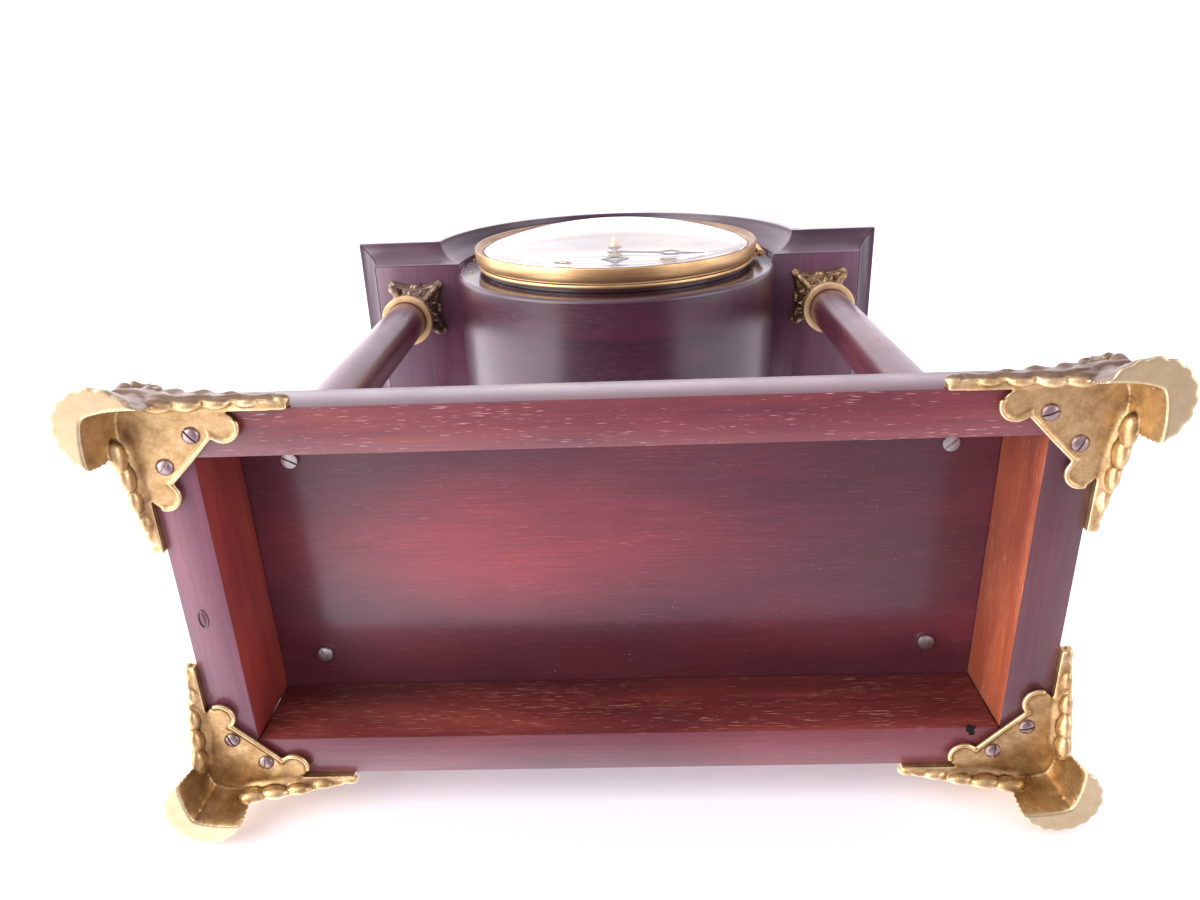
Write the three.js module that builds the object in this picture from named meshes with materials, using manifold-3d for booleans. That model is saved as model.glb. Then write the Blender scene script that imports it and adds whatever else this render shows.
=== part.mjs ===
// A mantel clock of the portico kind. A wooden base frame on four gilt corner feet carries four columns.
// They hold up a head with a coved cornice that arches over a drum, and the drum holds the movement.
// Millimetres. +Z is up, -Y is the front. The origin is on the floor, under the middle of the clock.
import * as THREE from "three";
import { mergeVertices } from "three/addons/utils/BufferGeometryUtils.js";
import Module from "manifold-3d";

// Gap between two pieces that touch.
const SEAT_GAP = 0.3;

// Base frame: four mitred rails with a fascia and a cove, and a board on top.
const BASE_WIDTH = 280;
const BASE_DEPTH = 135;
const RAIL_THICKNESS = 15;
const FASCIA_HEIGHT = 15.7;
const COVE_DEPTH = 10.2;
const COVE_HEIGHT = 12.5;
const RAIL_LIP = 1.3;
const BOARD_THICKNESS = 8;
const BOARD_OVERHANG = 1.2;

// Cast feet. Each has a plate under a corner of the frame, a leaf on both outer faces and a shell-shaped toe.
const FOOT_HEIGHT = 17.5;
const PLATE_THICKNESS = 1.8;
const PLATE_REACH = 30;
const PLATE_LOBE_RADIUS = 4.9;
const FOOT_EDGE = 3;
const LEAF_LENGTH = 45;
const LEAF_HEIGHT = 15;
const LEAF_DEPTH = 5;
const LEAF_RIPPLES = 3;
const TOE_RADIUS = 14.5;
const TOE_SHIFT = 0.5;
const SHELL_RIBS = 8;
const NECK_HALF_WIDTH = 9;
const FOOT_SCREW_RADIUS = 2.8;
const FOOT_SCREW_RISE = 1.3;
const FOOT_SCREW_NEAR = 7;
const FOOT_SCREW_FAR = 16.8;

// Columns, with a gilt base and a gilt capital each, and a screw up through the base board.
const COLUMN_X = 108.6;
const COLUMN_Y = 38.6;
const PORTICO_HEIGHT = 201.6;
const COLUMN_RADIUS = 9.9;
const TENON_RADIUS = 5;
const TENON_IN_SOFFIT = 8;
const COLUMN_BASE_LIP = 1.2;
const COLUMN_BASE_HEIGHT = 16;
const COLUMN_BASE_RADIUS = 14;
const CAPITAL_HEIGHT = 30.8;
const COLLAR_RADIUS = 12.9;
const COLLAR_HEIGHT = 4;
const CAPITAL_LEAVES = 8;
const ABACUS_HALF = 15;
const ABACUS_WAIST = 0.78;
const ABACUS_HEIGHT = 4.2;
const VOLUTE_RADIUS = 3.4;
const COLUMN_SCREW_RADIUS = 1.9;
const COLUMN_SCREW_HEAD_RADIUS = 2.9;
const COLUMN_SCREW_HEAD = 1.2;
const COLUMN_SCREW_IN_SHAFT = 12;

// Head: two soffit boards, five cornice mouldings and an arched top.
const SOFFIT_WIDTH = 260.4;
const HEAD_SETBACK = 6.3;
const CORNICE_FASCIA = 6;

// Drum, with the movement's seat at its front and a door ring at its back.
const DRUM_RADIUS = 84;
const DRUM_WALL = 8;
const DRUM_FRONT_STEP = 2.2;
const DRUM_REAR_STEP = 5.2;
const DRUM_FACE_THICKNESS = 10;
const DRUM_OPENING_RADIUS = 63;
const DRUM_ARRIS = 2;
const BACK_RING_WIDTH = 15.7;
const BACK_THICKNESS = 9.7;
const REAR_RING_LAP = 8;
const REAR_RING_FACE = 1.3;
const REAR_RING_WALL = 1.5;
const REAR_RING_SPIGOT = 5;
const REAR_HINGE_REACH = 11;
const REAR_DOOR_LAP = 6.5;
const REAR_DOOR_THICKNESS = 1.2;
const KNOB_INSET = 6;
const KNOB_RADIUS = 3.4;
const KNOB_REACH = 6.2;

// Bezel, its fixed ring and the domed glass.
const BEZEL_FRONT_RADIUS = 74.2;
const BEZEL_BACK_RADIUS = 72.8;
const BEZEL_DEPTH = 7.8;
const BEZEL_LIP = 3.2;
const BEZEL_SIGHT_RADIUS = 68.6;
const BEZEL_WALL = 1.8;
const RING_HEIGHT = 4.1;
const RING_RADIUS = 72;
const RING_INNER_RADIUS = 64.5;
const GLASS_THICKNESS = 1.6;
const GLASS_RISE = 8.5;

// Hinge of the bezel and of the back door.
const KNUCKLE_RADIUS = 1.9;
const KNUCKLE_LENGTH = 6;
const HINGE_PIN_RADIUS = 0.8;
const HINGE_CLEARANCE = 0.3;
const HINGE_STANDOFF = 1.8;

// Dial and hands.
const DIAL_RADIUS = 69.5;
const DIAL_THICKNESS = 1;
const DIAL_FOOT_RADIUS = 1.5;
const DIAL_FOOT_CIRCLE = 50;
const WINDING_X = 27;
const WINDING_DROP = 20;
const WINDING_HOLE_RADIUS = 4.6;
const DIAL_CENTRE_HOLE = 4;
const MINUTE_HAND_LENGTH = 60;
const MINUTE_HAND_RING = 34;
const HOUR_HAND_LENGTH = 48;
const HOUR_HAND_RING = 30;
const HAND_THICKNESS = 0.8;
const HAND_SHANK = 2.6;
const HAND_RING_WIDTH = 1.3;
const HAND_RING_RADIUS = 5.5;
const HAND_NUT_RADIUS = 3.2;
const HAND_NUT_HEIGHT = 4.5;
const MINUTE_HAND_ANGLE = 180;
const HOUR_HAND_ANGLE = 105;

// Movement plates and the arbors between them.
const FRONT_PLATE_THICKNESS = 2.5;
const BACK_PLATE_THICKNESS = 2.5;
const PLATE_SPACING = 36.2;
const PLATE_HALF_WIDTH = 48;
const PLATE_TOP = 50;
const PLATE_BOTTOM = 44;
const PLATE_CLEARANCE = 4;
const PLATE_EAR_WIDTH = 12;
const PILLAR_RADIUS = 3;
const PILLAR_INSET = 4;
const PILLAR_DROP = 6;
const PIVOT_RADIUS = 0.8;
const ARBOR_RADIUS = 1.2;
const CENTRE_ARBOR_RADIUS = 1.9;
const HAND_ARBOR_RADIUS = 1.6;
const BARREL_RADIUS = 20;
const GREAT_WHEEL_RADIUS = 21;
const BARREL_LENGTH = 20;
const BARREL_ARBOR_RADIUS = 2.2;
const WINDING_SQUARE = 3.6;
const HOUR_PIPE_WALL = 1;
const HOUR_WHEEL_RADIUS = 13;
const GEAR_MODULE = 1.5;
const CENTRE_TEETH = 24;
const PINION_LEAVES = 8;
const THIRD_ANGLE = 150;
const WHEEL_THICKNESS = 1.5;
const ESCAPE_RISE = 22;
const ESCAPE_RADIUS = 11;
const ESCAPE_ROOT = 0.78;
const ESCAPE_TEETH = 15;
const ANCHOR_RISE = 42;
const PALLET_SPREAD = 12.3;
const PALLET_DROP = 12.8;
const CRUTCH_LENGTH = 24;
const CRUTCH_WIDTH = 2.4;
const CRUTCH_THICKNESS = 1.5;
const HUB_RADIUS = 2.6;

// Pendulum, gong and hammer, behind the back plate.
const PENDULUM_LENGTH = 87;
const PENDULUM_Y = 12;
const ROD_RADIUS = 1.2;
const SPRING_DROP = 7;
const SPRING_HALF_WIDTH = 2.5;
const SPRING_THICKNESS = 0.6;
const SPRING_BLOCK = 4;
const COCK_RISE = 3.5;
const COCK_WIDTH = 16;
const COCK_HEIGHT = 7;
const COCK_ARM_WIDTH = 8;
const COCK_ARM_HEIGHT = 5.5;
const COCK_SLOT_DEPTH = 3;
const COCK_SLOT = 2;
const COCK_FOOT = 2.5;
const RATING_NUT_RADIUS = 2.6;
const RATING_NUT_HEIGHT = 2.5;
const ROD_END = 5;
const BOB_RADIUS = 16;
const BOB_THICKNESS = 9;
const GONG_TURNS = 4;
const GONG_INNER_RADIUS = 16;
const GONG_PITCH = 7;
const GONG_WIRE_RADIUS = 1.6;
const GONG_STANDOFF = 12;
const GONG_LOOP_STEPS = 24;
const GONG_BLOCK_WIDTH = 16;
const GONG_BLOCK_DEPTH = 12;
const GONG_BLOCK_RISE = 3;
const HAMMER_X = 24;
const HAMMER_RISE = 46;
const HAMMER_STRIKE_ANGLE = 25;
const HAMMER_HEAD_RADIUS = 4.5;
const HAMMER_HEAD_LENGTH = 9;
const HAMMER_REST = 1.5;

// Segments of round pieces.
const RIM_SEGMENTS = 40;
const SHAFT_SEGMENTS = 16;
const WHEEL_SEGMENTS = 24;
const HOLE_SEGMENTS = 12;
const PIN_SEGMENTS = 8;
const ARCH_STEPS = 24;
const COVE_SEGMENTS = 5;

// Levels and planes that follow from the sizes above.
const railHeight = FASCIA_HEIGHT + COVE_HEIGHT + RAIL_LIP;
const boardLevel = FOOT_HEIGHT + railHeight + SEAT_GAP;
const porticoFloor = boardLevel + BOARD_THICKNESS;
const soffitLevel = porticoFloor + PORTICO_HEIGHT;
const headHalfDepth = BASE_DEPTH / 2 - HEAD_SETBACK;
const soffitHalf = SOFFIT_WIDTH / 2;
const corniceHeight = COVE_HEIGHT + CORNICE_FASCIA;
const archInner = DRUM_RADIUS + SEAT_GAP;
const archOuter = archInner + corniceHeight;
const drumFront = -headHalfDepth + DRUM_FRONT_STEP;
const drumRear = headHalfDepth - DRUM_REAR_STEP;
const drumInner = DRUM_RADIUS - DRUM_WALL;
const rearHingeY = drumRear + KNUCKLE_RADIUS;
const backOpening = drumInner - SEAT_GAP - BACK_RING_WIDTH;
const backFront = drumRear - SEAT_GAP - BACK_THICKNESS;
const plateReach = drumInner - PLATE_CLEARANCE;
const gongY = backFront - GONG_STANDOFF;
const ringFront = drumFront - SEAT_GAP - RING_HEIGHT;
const bezelRear = ringFront - SEAT_GAP;
const bezelFront = bezelRear - BEZEL_DEPTH;
const hingeX = BEZEL_FRONT_RADIUS + HINGE_STANDOFF;
const hingeY = bezelRear;
const dialBack = ringFront + 1.2;
const dialFront = dialBack - DIAL_THICKNESS;
const platesFront = drumFront + DRUM_FACE_THICKNESS + SEAT_GAP;
const frontPlateRear = platesFront + FRONT_PLATE_THICKNESS;
const backPlateFront = frontPlateRear + PLATE_SPACING;
const backPlateRear = backPlateFront + BACK_PLATE_THICKNESS;
const hourHandFront = dialFront - 2.2;
const minuteHandFront = hourHandFront - 2.2;
const nutFront = minuteHandFront - HAND_NUT_HEIGHT;

const wasm = await Module();
wasm.setup();

const wood = { color: 0x5a1e22, roughness: 0.35, metalness: 0 };
const darkWood = { color: 0x431620, roughness: 0.35, metalness: 0 };
const gilt = { color: 0xb98f3f, roughness: 0.4, metalness: 0.9 };
const brass = { color: 0xc9a04c, roughness: 0.25, metalness: 1 };
const steel = { color: 0x9a9590, roughness: 0.35, metalness: 1 };
const iron = { color: 0x3a3634, roughness: 0.6, metalness: 0.7 };
const enamel = { color: 0xf4f2ec, roughness: 0.25, metalness: 0 };
const blued = { color: 0x2b1f26, roughness: 0.3, metalness: 0.8 };
const clear = { color: 0xeef4f4, roughness: 0.02, metalness: 0, transparent: true, opacity: 0.2 };

const radians = THREE.MathUtils.degToRad;
const lerp = THREE.MathUtils.lerp;

// Turns a closed geometry into a solid with its faces out, whichever way they wind.
function solidOf(geometry) {
  const loose = geometry.index ? geometry.toNonIndexed() : geometry.clone();
  loose.deleteAttribute("normal");
  loose.deleteAttribute("uv");
  const merged = mergeVertices(loose, 1e-4);
  const corners = merged.index.array;
  const kept = [];
  for (let i = 0; i < corners.length; i += 3) {
    const [a, b, c] = corners.slice(i, i + 3);
    if (a !== b && b !== c && c !== a) kept.push(a, b, c);
  }
  const vertProperties = merged.attributes.position.array;
  const made = (list) =>
    new wasm.Manifold(new wasm.Mesh({ numProp: 3, vertProperties, triVerts: new Uint32Array(list) }));
  const solid = made(kept);
  return solid.volume() < 0 ? made(kept.reverse()) : solid;
}

function union(...solids) {
  return solids.reduce((sum, next) => sum.add(next));
}

function cut(solid, ...tools) {
  return tools.reduce((left, tool) => left.subtract(tool), solid);
}

function meshOf(name, solid, look) {
  const { vertProperties, triVerts } = solid.getMesh();
  const geometry = new THREE.BufferGeometry();
  geometry.setAttribute("position", new THREE.BufferAttribute(vertProperties, 3));
  geometry.setIndex(new THREE.BufferAttribute(triVerts, 1));
  geometry.computeVertexNormals();
  const mesh = new THREE.Mesh(geometry, new THREE.MeshStandardMaterial(look));
  mesh.name = name;
  return mesh;
}

// Moves each vertex to where the function puts it.
function reshape(geometry, place) {
  const position = geometry.attributes.position;
  const point = new THREE.Vector3();
  for (let i = 0; i < position.count; i++) {
    const moved = place(point.fromBufferAttribute(position, i));
    position.setXYZ(i, moved.x, moved.y, moved.z);
  }
  return geometry;
}

// A tube or bulb through rows of rings. place(row, angle, spread) gives each point.
// spread is 0 at the middle of a cap and 1 on a ring.
function ringed(rows, sides, place) {
  const tube = new THREE.CylinderGeometry(1, 1, 1, sides, rows - 1);
  return reshape(tube, (p) =>
    place(Math.round((0.5 - p.y) * (rows - 1)), Math.atan2(p.z, p.x), Math.min(1, Math.hypot(p.x, p.z))),
  );
}

function box(x0, x1, y0, y1, z0, z1) {
  const block = new THREE.BoxGeometry(x1 - x0, y1 - y0, z1 - z0);
  return solidOf(block.translate((x0 + x1) / 2, (y0 + y1) / 2, (z0 + z1) / 2));
}

// A profile of [radius, height] points turned round the upright axis.
function turnedUp(profile, segments) {
  const points = profile.map(([r, z]) => new THREE.Vector2(r, z));
  return solidOf(new THREE.LatheGeometry(points, segments).rotateX(Math.PI / 2));
}

// A profile of [radius, y] points turned round the line that runs front to back at (x, z).
function turned(profile, segments, x = 0, z = 0) {
  const points = profile.map(([r, y]) => new THREE.Vector2(r, y));
  return solidOf(new THREE.LatheGeometry(points, segments).translate(x, 0, z));
}

// A round bar from y0 to y1 at (x, z).
function bar(radius, y0, y1, x = 0, z = 0, segments = PIN_SEGMENTS) {
  return turned([[0, y0], [radius, y0], [radius, y1], [0, y1]], segments, x, z);
}

// A round bar that stands on (x, y) from z0 to z1.
function post(radius, z0, z1, x = 0, y = 0, segments = PIN_SEGMENTS) {
  const column = new THREE.CylinderGeometry(radius, radius, z1 - z0, segments).rotateX(Math.PI / 2);
  return solidOf(column.translate(x, y, (z0 + z1) / 2));
}

// A shape drawn in x and z, made into a slab from y0 to y1.
function slab(shape, y0, y1, curveSegments = 12) {
  const plate = new THREE.ExtrudeGeometry(shape, { depth: y1 - y0, bevelEnabled: false, curveSegments });
  return solidOf(plate.rotateX(Math.PI / 2).translate(0, y1, 0));
}

function polygon(points) {
  return new THREE.Shape(points.map(([x, y]) => new THREE.Vector2(x, y)));
}

// A flat strip from one point to another in x and z.
function strip([xa, za], [xb, zb], width, y0, y1) {
  const along = new THREE.Vector2(xb - xa, zb - za).normalize();
  const [sx, sz] = [(-along.y * width) / 2, (along.x * width) / 2];
  const outline = polygon([[xa + sx, za + sz], [xa - sx, za - sz], [xb - sx, zb - sz], [xb + sx, zb + sz]]);
  return slab(outline, y0, y1);
}

// A section drawn as (offset, height), run along X between the ends that ends(offset, height) gives.
function moulding(section, ends) {
  const options = { depth: 1, bevelEnabled: false, curveSegments: COVE_SEGMENTS };
  const run = new THREE.ExtrudeGeometry(section, options);
  return reshape(run, (p) => {
    const [from, to] = ends(p.x, p.y);
    return new THREE.Vector3(lerp(from, to, p.z), p.x, p.y);
  });
}

// ---- Base ----

// The rail's section: fascia at the outside, then a cove that runs in under the board.
function railSection() {
  const section = new THREE.Shape();
  section.moveTo(0, 0);
  section.lineTo(0, FASCIA_HEIGHT);
  section.absellipse(0, FASCIA_HEIGHT + COVE_HEIGHT, COVE_DEPTH, COVE_HEIGHT, -Math.PI / 2, 0, false);
  section.lineTo(COVE_DEPTH, railHeight);
  section.lineTo(RAIL_THICKNESS, railHeight);
  section.lineTo(RAIL_THICKNESS, 0);
  return section;
}

function rail(name, length, turn, x, y) {
  const ends = (offset) => [offset + SEAT_GAP - length / 2, length / 2 - offset - SEAT_GAP];
  const mesh = meshOf(name, solidOf(moulding(railSection(), ends)), wood);
  mesh.rotation.z = turn;
  mesh.position.set(x, y, 0);
  return mesh;
}

function baseBoard() {
  const inset = COVE_DEPTH - BOARD_OVERHANG;
  const [halfX, halfY] = [BASE_WIDTH / 2 - inset, BASE_DEPTH / 2 - inset];
  const z0 = railHeight + SEAT_GAP;
  const holes = columnSpots().map(([x, y]) =>
    post(COLUMN_SCREW_RADIUS + SEAT_GAP, z0 - 1, z0 + BOARD_THICKNESS + 1, x, y),
  );
  const board = box(-halfX, halfX, -halfY, halfY, z0, z0 + BOARD_THICKNESS);
  return meshOf("base_board", cut(board, ...holes), wood);
}

function columnSpots() {
  return [[-COLUMN_X, -COLUMN_Y], [COLUMN_X, -COLUMN_Y], [-COLUMN_X, COLUMN_Y], [COLUMN_X, COLUMN_Y]];
}

const SPOT_NAMES = ["front_left", "front_right", "rear_left", "rear_right"];

// ---- Feet ----
// Each foot is drawn at the front left corner: the frame's outer corner is at (0, 0, 0), and the frame lies
// towards +X, +Y and +Z from there. "out" is the distance outwards along the corner's diagonal.

function onDiagonal(out, across, z) {
  return new THREE.Vector3((across - out) * Math.SQRT1_2, (-across - out) * Math.SQRT1_2, z);
}

function footPlate() {
  const lobe = PLATE_LOBE_RADIUS;
  const [top, bottom] = [-SEAT_GAP, -SEAT_GAP - PLATE_THICKNESS];
  const far = PLATE_REACH - lobe;
  const edge = -FOOT_EDGE;
  const outline = polygon([
    [edge, edge], [PLATE_REACH, edge], [PLATE_REACH, 0], [0, PLATE_REACH], [edge, PLATE_REACH],
  ]);
  const sheet = new THREE.ExtrudeGeometry(outline, { depth: PLATE_THICKNESS, bevelEnabled: false });
  return union(
    solidOf(sheet.translate(0, 0, bottom)),
    post(lobe, bottom, top, far, lobe - 0.5),
    post(lobe, bottom, top, lobe - 0.5, far),
  );
}

// A rippled leaf that lies along the frame's face and tapers to its tip. flip swaps the two faces.
function footLeaf(flip) {
  const rows = LEAF_RIPPLES * 2 + 1;
  const leaf = ringed(rows, 5, (row, angle, spread) => {
    const s = row / (rows - 1);
    const ripple = (row % 2 ? 1 : 0.78) * spread;
    const along = lerp(-FOOT_EDGE, LEAF_LENGTH, s);
    const out = lerp(LEAF_DEPTH, LEAF_DEPTH * 0.35, s) * ripple * Math.cos(angle);
    const half = lerp(LEAF_HEIGHT / 2, LEAF_HEIGHT / 5, s);
    const z = half * 0.75 + half * ripple * Math.sin(angle) - SEAT_GAP;
    return flip ? new THREE.Vector3(out, along, z) : new THREE.Vector3(along, out, z);
  });
  return solidOf(leaf);
}

// The leg under the corner: a neck that flares into a scalloped shell with a flat sole.
function footLeg() {
  const profile = [
    [-SEAT_GAP, -6, NECK_HALF_WIDTH - 2, NECK_HALF_WIDTH - 0.5],
    [-FOOT_HEIGHT * 0.45, -2.5, NECK_HALF_WIDTH, NECK_HALF_WIDTH + 1.5],
    [-FOOT_HEIGHT * 0.77, -0.5, TOE_RADIUS - 2, TOE_RADIUS - 1.5],
    [-FOOT_HEIGHT * 0.91, TOE_SHIFT, TOE_RADIUS, TOE_RADIUS],
    [-FOOT_HEIGHT, TOE_SHIFT, TOE_RADIUS, TOE_RADIUS],
  ];
  const leg = ringed(profile.length, 2 * SHELL_RIBS, (row, angle, spread) => {
    const [z, middle, deep, wide] = profile[row];
    const scallop = 1 + 0.045 * (row / (profile.length - 1)) * Math.cos(SHELL_RIBS * angle);
    const reach = spread * scallop;
    return onDiagonal(middle + deep * reach * Math.cos(angle), wide * reach * Math.sin(angle), z);
  });
  return solidOf(leg);
}

// One of the two hollows in the sole, on either side of the rib.
function footHollow(side) {
  const ball = new THREE.SphereGeometry(1, 6, 4);
  const hollow = reshape(ball, (p) =>
    onDiagonal(-5 + TOE_RADIUS * 0.83 * p.x, side * 6 + TOE_RADIUS * 0.32 * p.y, -FOOT_HEIGHT + 11 * p.z),
  );
  return solidOf(hollow);
}

// The small scroll that stands on the corner, above the toe.
function footScroll() {
  const ball = new THREE.SphereGeometry(1, 6, 4);
  return solidOf(reshape(ball, (p) => onDiagonal(2.5 + 5.5 * p.x, 5.5 * p.y, LEAF_HEIGHT * 0.62 + 5 * p.z)));
}

function foot(name, x, y, turn) {
  const screws = [[FOOT_SCREW_FAR, FOOT_SCREW_NEAR], [FOOT_SCREW_NEAR, FOOT_SCREW_FAR]].map(([u, v]) => {
    const sole = -SEAT_GAP - PLATE_THICKNESS;
    return post(FOOT_SCREW_RADIUS, sole - FOOT_SCREW_RISE, sole + 0.5, u, v);
  });
  const frameCorner = box(-SEAT_GAP, BASE_WIDTH, -SEAT_GAP, BASE_DEPTH, -SEAT_GAP, railHeight + FOOT_HEIGHT);
  const casting = union(footPlate(), footLeaf(false), footLeaf(true), footLeg(), footScroll(), ...screws);
  const mesh = meshOf(name, cut(casting, footHollow(1), footHollow(-1), frameCorner), gilt);
  mesh.rotation.z = turn;
  mesh.position.set(x, y, 0);
  return mesh;
}

function makeBase() {
  const base = new THREE.Group();
  base.position.z = FOOT_HEIGHT;
  const [x, y] = [BASE_WIDTH / 2, BASE_DEPTH / 2];
  base.add(
    rail("front_rail", BASE_WIDTH, 0, 0, -y),
    rail("rear_rail", BASE_WIDTH, Math.PI, 0, y),
    rail("left_rail", BASE_DEPTH, -Math.PI / 2, -x, 0),
    rail("right_rail", BASE_DEPTH, Math.PI / 2, x, 0),
    baseBoard(),
    foot("foot_front_left", -x, -y, 0),
    foot("foot_front_right", x, -y, Math.PI / 2),
    foot("foot_rear_left", -x, y, -Math.PI / 2),
    foot("foot_rear_right", x, y, Math.PI),
  );
  return base;
}

// ---- Columns ----

function columnBase() {
  const [r, h, bore] = [COLUMN_BASE_RADIUS, COLUMN_BASE_HEIGHT, COLUMN_SCREW_RADIUS + SEAT_GAP];
  const neck = COLUMN_RADIUS + COLUMN_BASE_LIP;
  const profile = [
    [bore, 0], [r, 0], [r, h * 0.35], [neck, h * 0.5], [neck, h * 0.75],
    [neck + 0.9, h], [bore, h], [bore, 0],
  ];
  return turnedUp(profile, SHAFT_SEGMENTS);
}

function columnShaft(height) {
  const bore = COLUMN_SCREW_RADIUS + SEAT_GAP;
  const tenonTop = height + SEAT_GAP + CAPITAL_HEIGHT + SEAT_GAP + TENON_IN_SOFFIT;
  return turnedUp(
    [
      [0, COLUMN_SCREW_IN_SHAFT + 1], [bore, COLUMN_SCREW_IN_SHAFT + 1], [bore, 0], [COLUMN_RADIUS, 0],
      [COLUMN_RADIUS, height], [TENON_RADIUS, height], [TENON_RADIUS, tenonTop], [0, tenonTop],
    ],
    SHAFT_SEGMENTS,
  );
}

// The plain collar, and above it the leafy bell: lobes that swell into two tiers of leaf tips.
// Each row gives a height, how far the row stands in from the collar, and the depth of its lobes.
function capitalBell() {
  const top = CAPITAL_HEIGHT - ABACUS_HEIGHT + 0.5;
  const rise = top - COLLAR_HEIGHT;
  const rows = [
    [0, 0, 0], [COLLAR_HEIGHT, 0, 0], [COLLAR_HEIGHT + 1, 2.8, 0], [COLLAR_HEIGHT + rise * 0.42, 0.4, 1.2],
    [COLLAR_HEIGHT + rise * 0.5, 2.8, 0.6], [COLLAR_HEIGHT + rise * 0.8, 0.8, 1], [top, 1.2, 0.5],
  ];
  const bell = ringed(rows.length, 2 * CAPITAL_LEAVES, (row, angle, spread) => {
    const [z, inset, lobe] = rows[row];
    const r = spread * (COLLAR_RADIUS - inset + lobe * Math.cos(CAPITAL_LEAVES * angle));
    return new THREE.Vector3(r * Math.cos(angle), r * Math.sin(angle), z);
  });
  return solidOf(bell);
}

function capitalAbacus() {
  const [reach, waist] = [ABACUS_HALF, ABACUS_HALF * ABACUS_WAIST];
  const outline = new THREE.Shape();
  outline.moveTo(reach, reach);
  outline.quadraticCurveTo(0, 2 * waist - reach, -reach, reach);
  outline.quadraticCurveTo(reach - 2 * waist, 0, -reach, -reach);
  outline.quadraticCurveTo(0, reach - 2 * waist, reach, -reach);
  outline.quadraticCurveTo(2 * waist - reach, 0, reach, reach);
  const options = { depth: ABACUS_HEIGHT, bevelEnabled: false, curveSegments: 4 };
  const sheet = new THREE.ExtrudeGeometry(outline, options);
  return solidOf(sheet.translate(0, 0, CAPITAL_HEIGHT - ABACUS_HEIGHT));
}

function capital() {
  const scrolls = [[1, 1], [-1, 1], [-1, -1], [1, -1]].map(([sx, sy]) => {
    const at = ABACUS_HALF * ABACUS_WAIST;
    const ball = new THREE.SphereGeometry(VOLUTE_RADIUS, 6, 3).rotateX(Math.PI / 2);
    return solidOf(ball.translate(sx * at, sy * at, CAPITAL_HEIGHT - ABACUS_HEIGHT - 1.2));
  });
  const bore = post(TENON_RADIUS + SEAT_GAP, -1, CAPITAL_HEIGHT + 1, 0, 0, SHAFT_SEGMENTS);
  return cut(union(capitalBell(), capitalAbacus(), ...scrolls), bore);
}

// A slotted screw from under the base board up into the shaft. Its head's underside is at z = 0.
function columnScrew() {
  const reach = BOARD_THICKNESS + COLUMN_BASE_HEIGHT + COLUMN_SCREW_IN_SHAFT;
  const [head, rim, shank] = [-SEAT_GAP - COLUMN_SCREW_HEAD, COLUMN_SCREW_HEAD_RADIUS, COLUMN_SCREW_RADIUS];
  const profile = [[0, head], [rim, head], [rim, -SEAT_GAP], [shank, -SEAT_GAP], [shank, reach], [0, reach]];
  const body = turnedUp(profile, PIN_SEGMENTS);
  return cut(body, box(-rim, rim, -0.4, 0.4, head - 1, head + COLUMN_SCREW_HEAD / 2));
}

function makeColumns() {
  const columns = new THREE.Group();
  const shaftBottom = porticoFloor + SEAT_GAP + COLUMN_BASE_HEIGHT + SEAT_GAP;
  const capitalBottom = soffitLevel - SEAT_GAP - CAPITAL_HEIGHT;
  const pieces = [
    ["column_base_", columnBase(), gilt, porticoFloor + SEAT_GAP],
    ["column_", columnShaft(capitalBottom - SEAT_GAP - shaftBottom), wood, shaftBottom],
    ["capital_", capital(), gilt, capitalBottom],
    ["column_screw_", columnScrew(), steel, boardLevel],
  ];
  columnSpots().forEach(([x, y], i) => {
    for (const [prefix, solid, look, level] of pieces) {
      const mesh = meshOf(prefix + SPOT_NAMES[i], solid, look);
      mesh.position.set(x, y, level);
      columns.add(mesh);
    }
  });
  return columns;
}

// ---- Head ----
// Heights in the head count from the soffit, which is also the level of the drum's middle.

function corniceSection() {
  const section = new THREE.Shape();
  section.moveTo(0, 0);
  section.absellipse(COVE_DEPTH, 0, COVE_DEPTH, COVE_HEIGHT, Math.PI, Math.PI / 2, true);
  section.lineTo(COVE_DEPTH, corniceHeight);
  section.lineTo(0, corniceHeight);
  return section;
}

// The mitre between the straight cornice and the arch is a straight cut from the soffit's corner upwards.
const mitreRun = Math.sqrt(archOuter ** 2 - corniceHeight ** 2) - archInner;
const mitreSlope = mitreRun / corniceHeight;

function corniceFront() {
  const ends = (out, height) => [archInner + mitreSlope * height + SEAT_GAP, soffitHalf + out - SEAT_GAP];
  const place = (p) => new THREE.Vector3(p.x, -headHalfDepth - p.y, p.z);
  return solidOf(reshape(moulding(corniceSection(), ends), place));
}

function corniceSide() {
  const ends = (out) => [-headHalfDepth - out + SEAT_GAP, headHalfDepth];
  const place = (p) => new THREE.Vector3(soffitHalf + p.y, p.x, p.z);
  return solidOf(reshape(moulding(corniceSection(), ends), place));
}

// The same moulding bent over the drum. Each end stops at the mitre, so the end angle grows with the radius.
function corniceArch() {
  const options = { depth: 1, steps: ARCH_STEPS, bevelEnabled: false, curveSegments: COVE_SEGMENTS };
  const run = new THREE.ExtrudeGeometry(corniceSection(), options);
  const arch = reshape(run, (p) => {
    const r = archInner + p.y;
    const end = Math.acos(archInner / (r * Math.hypot(1, mitreSlope))) - Math.atan(mitreSlope);
    const angle = lerp(end, Math.PI - end, p.z);
    return new THREE.Vector3(r * Math.cos(angle), -headHalfDepth - p.x, r * Math.sin(angle));
  });
  return solidOf(arch);
}

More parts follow.
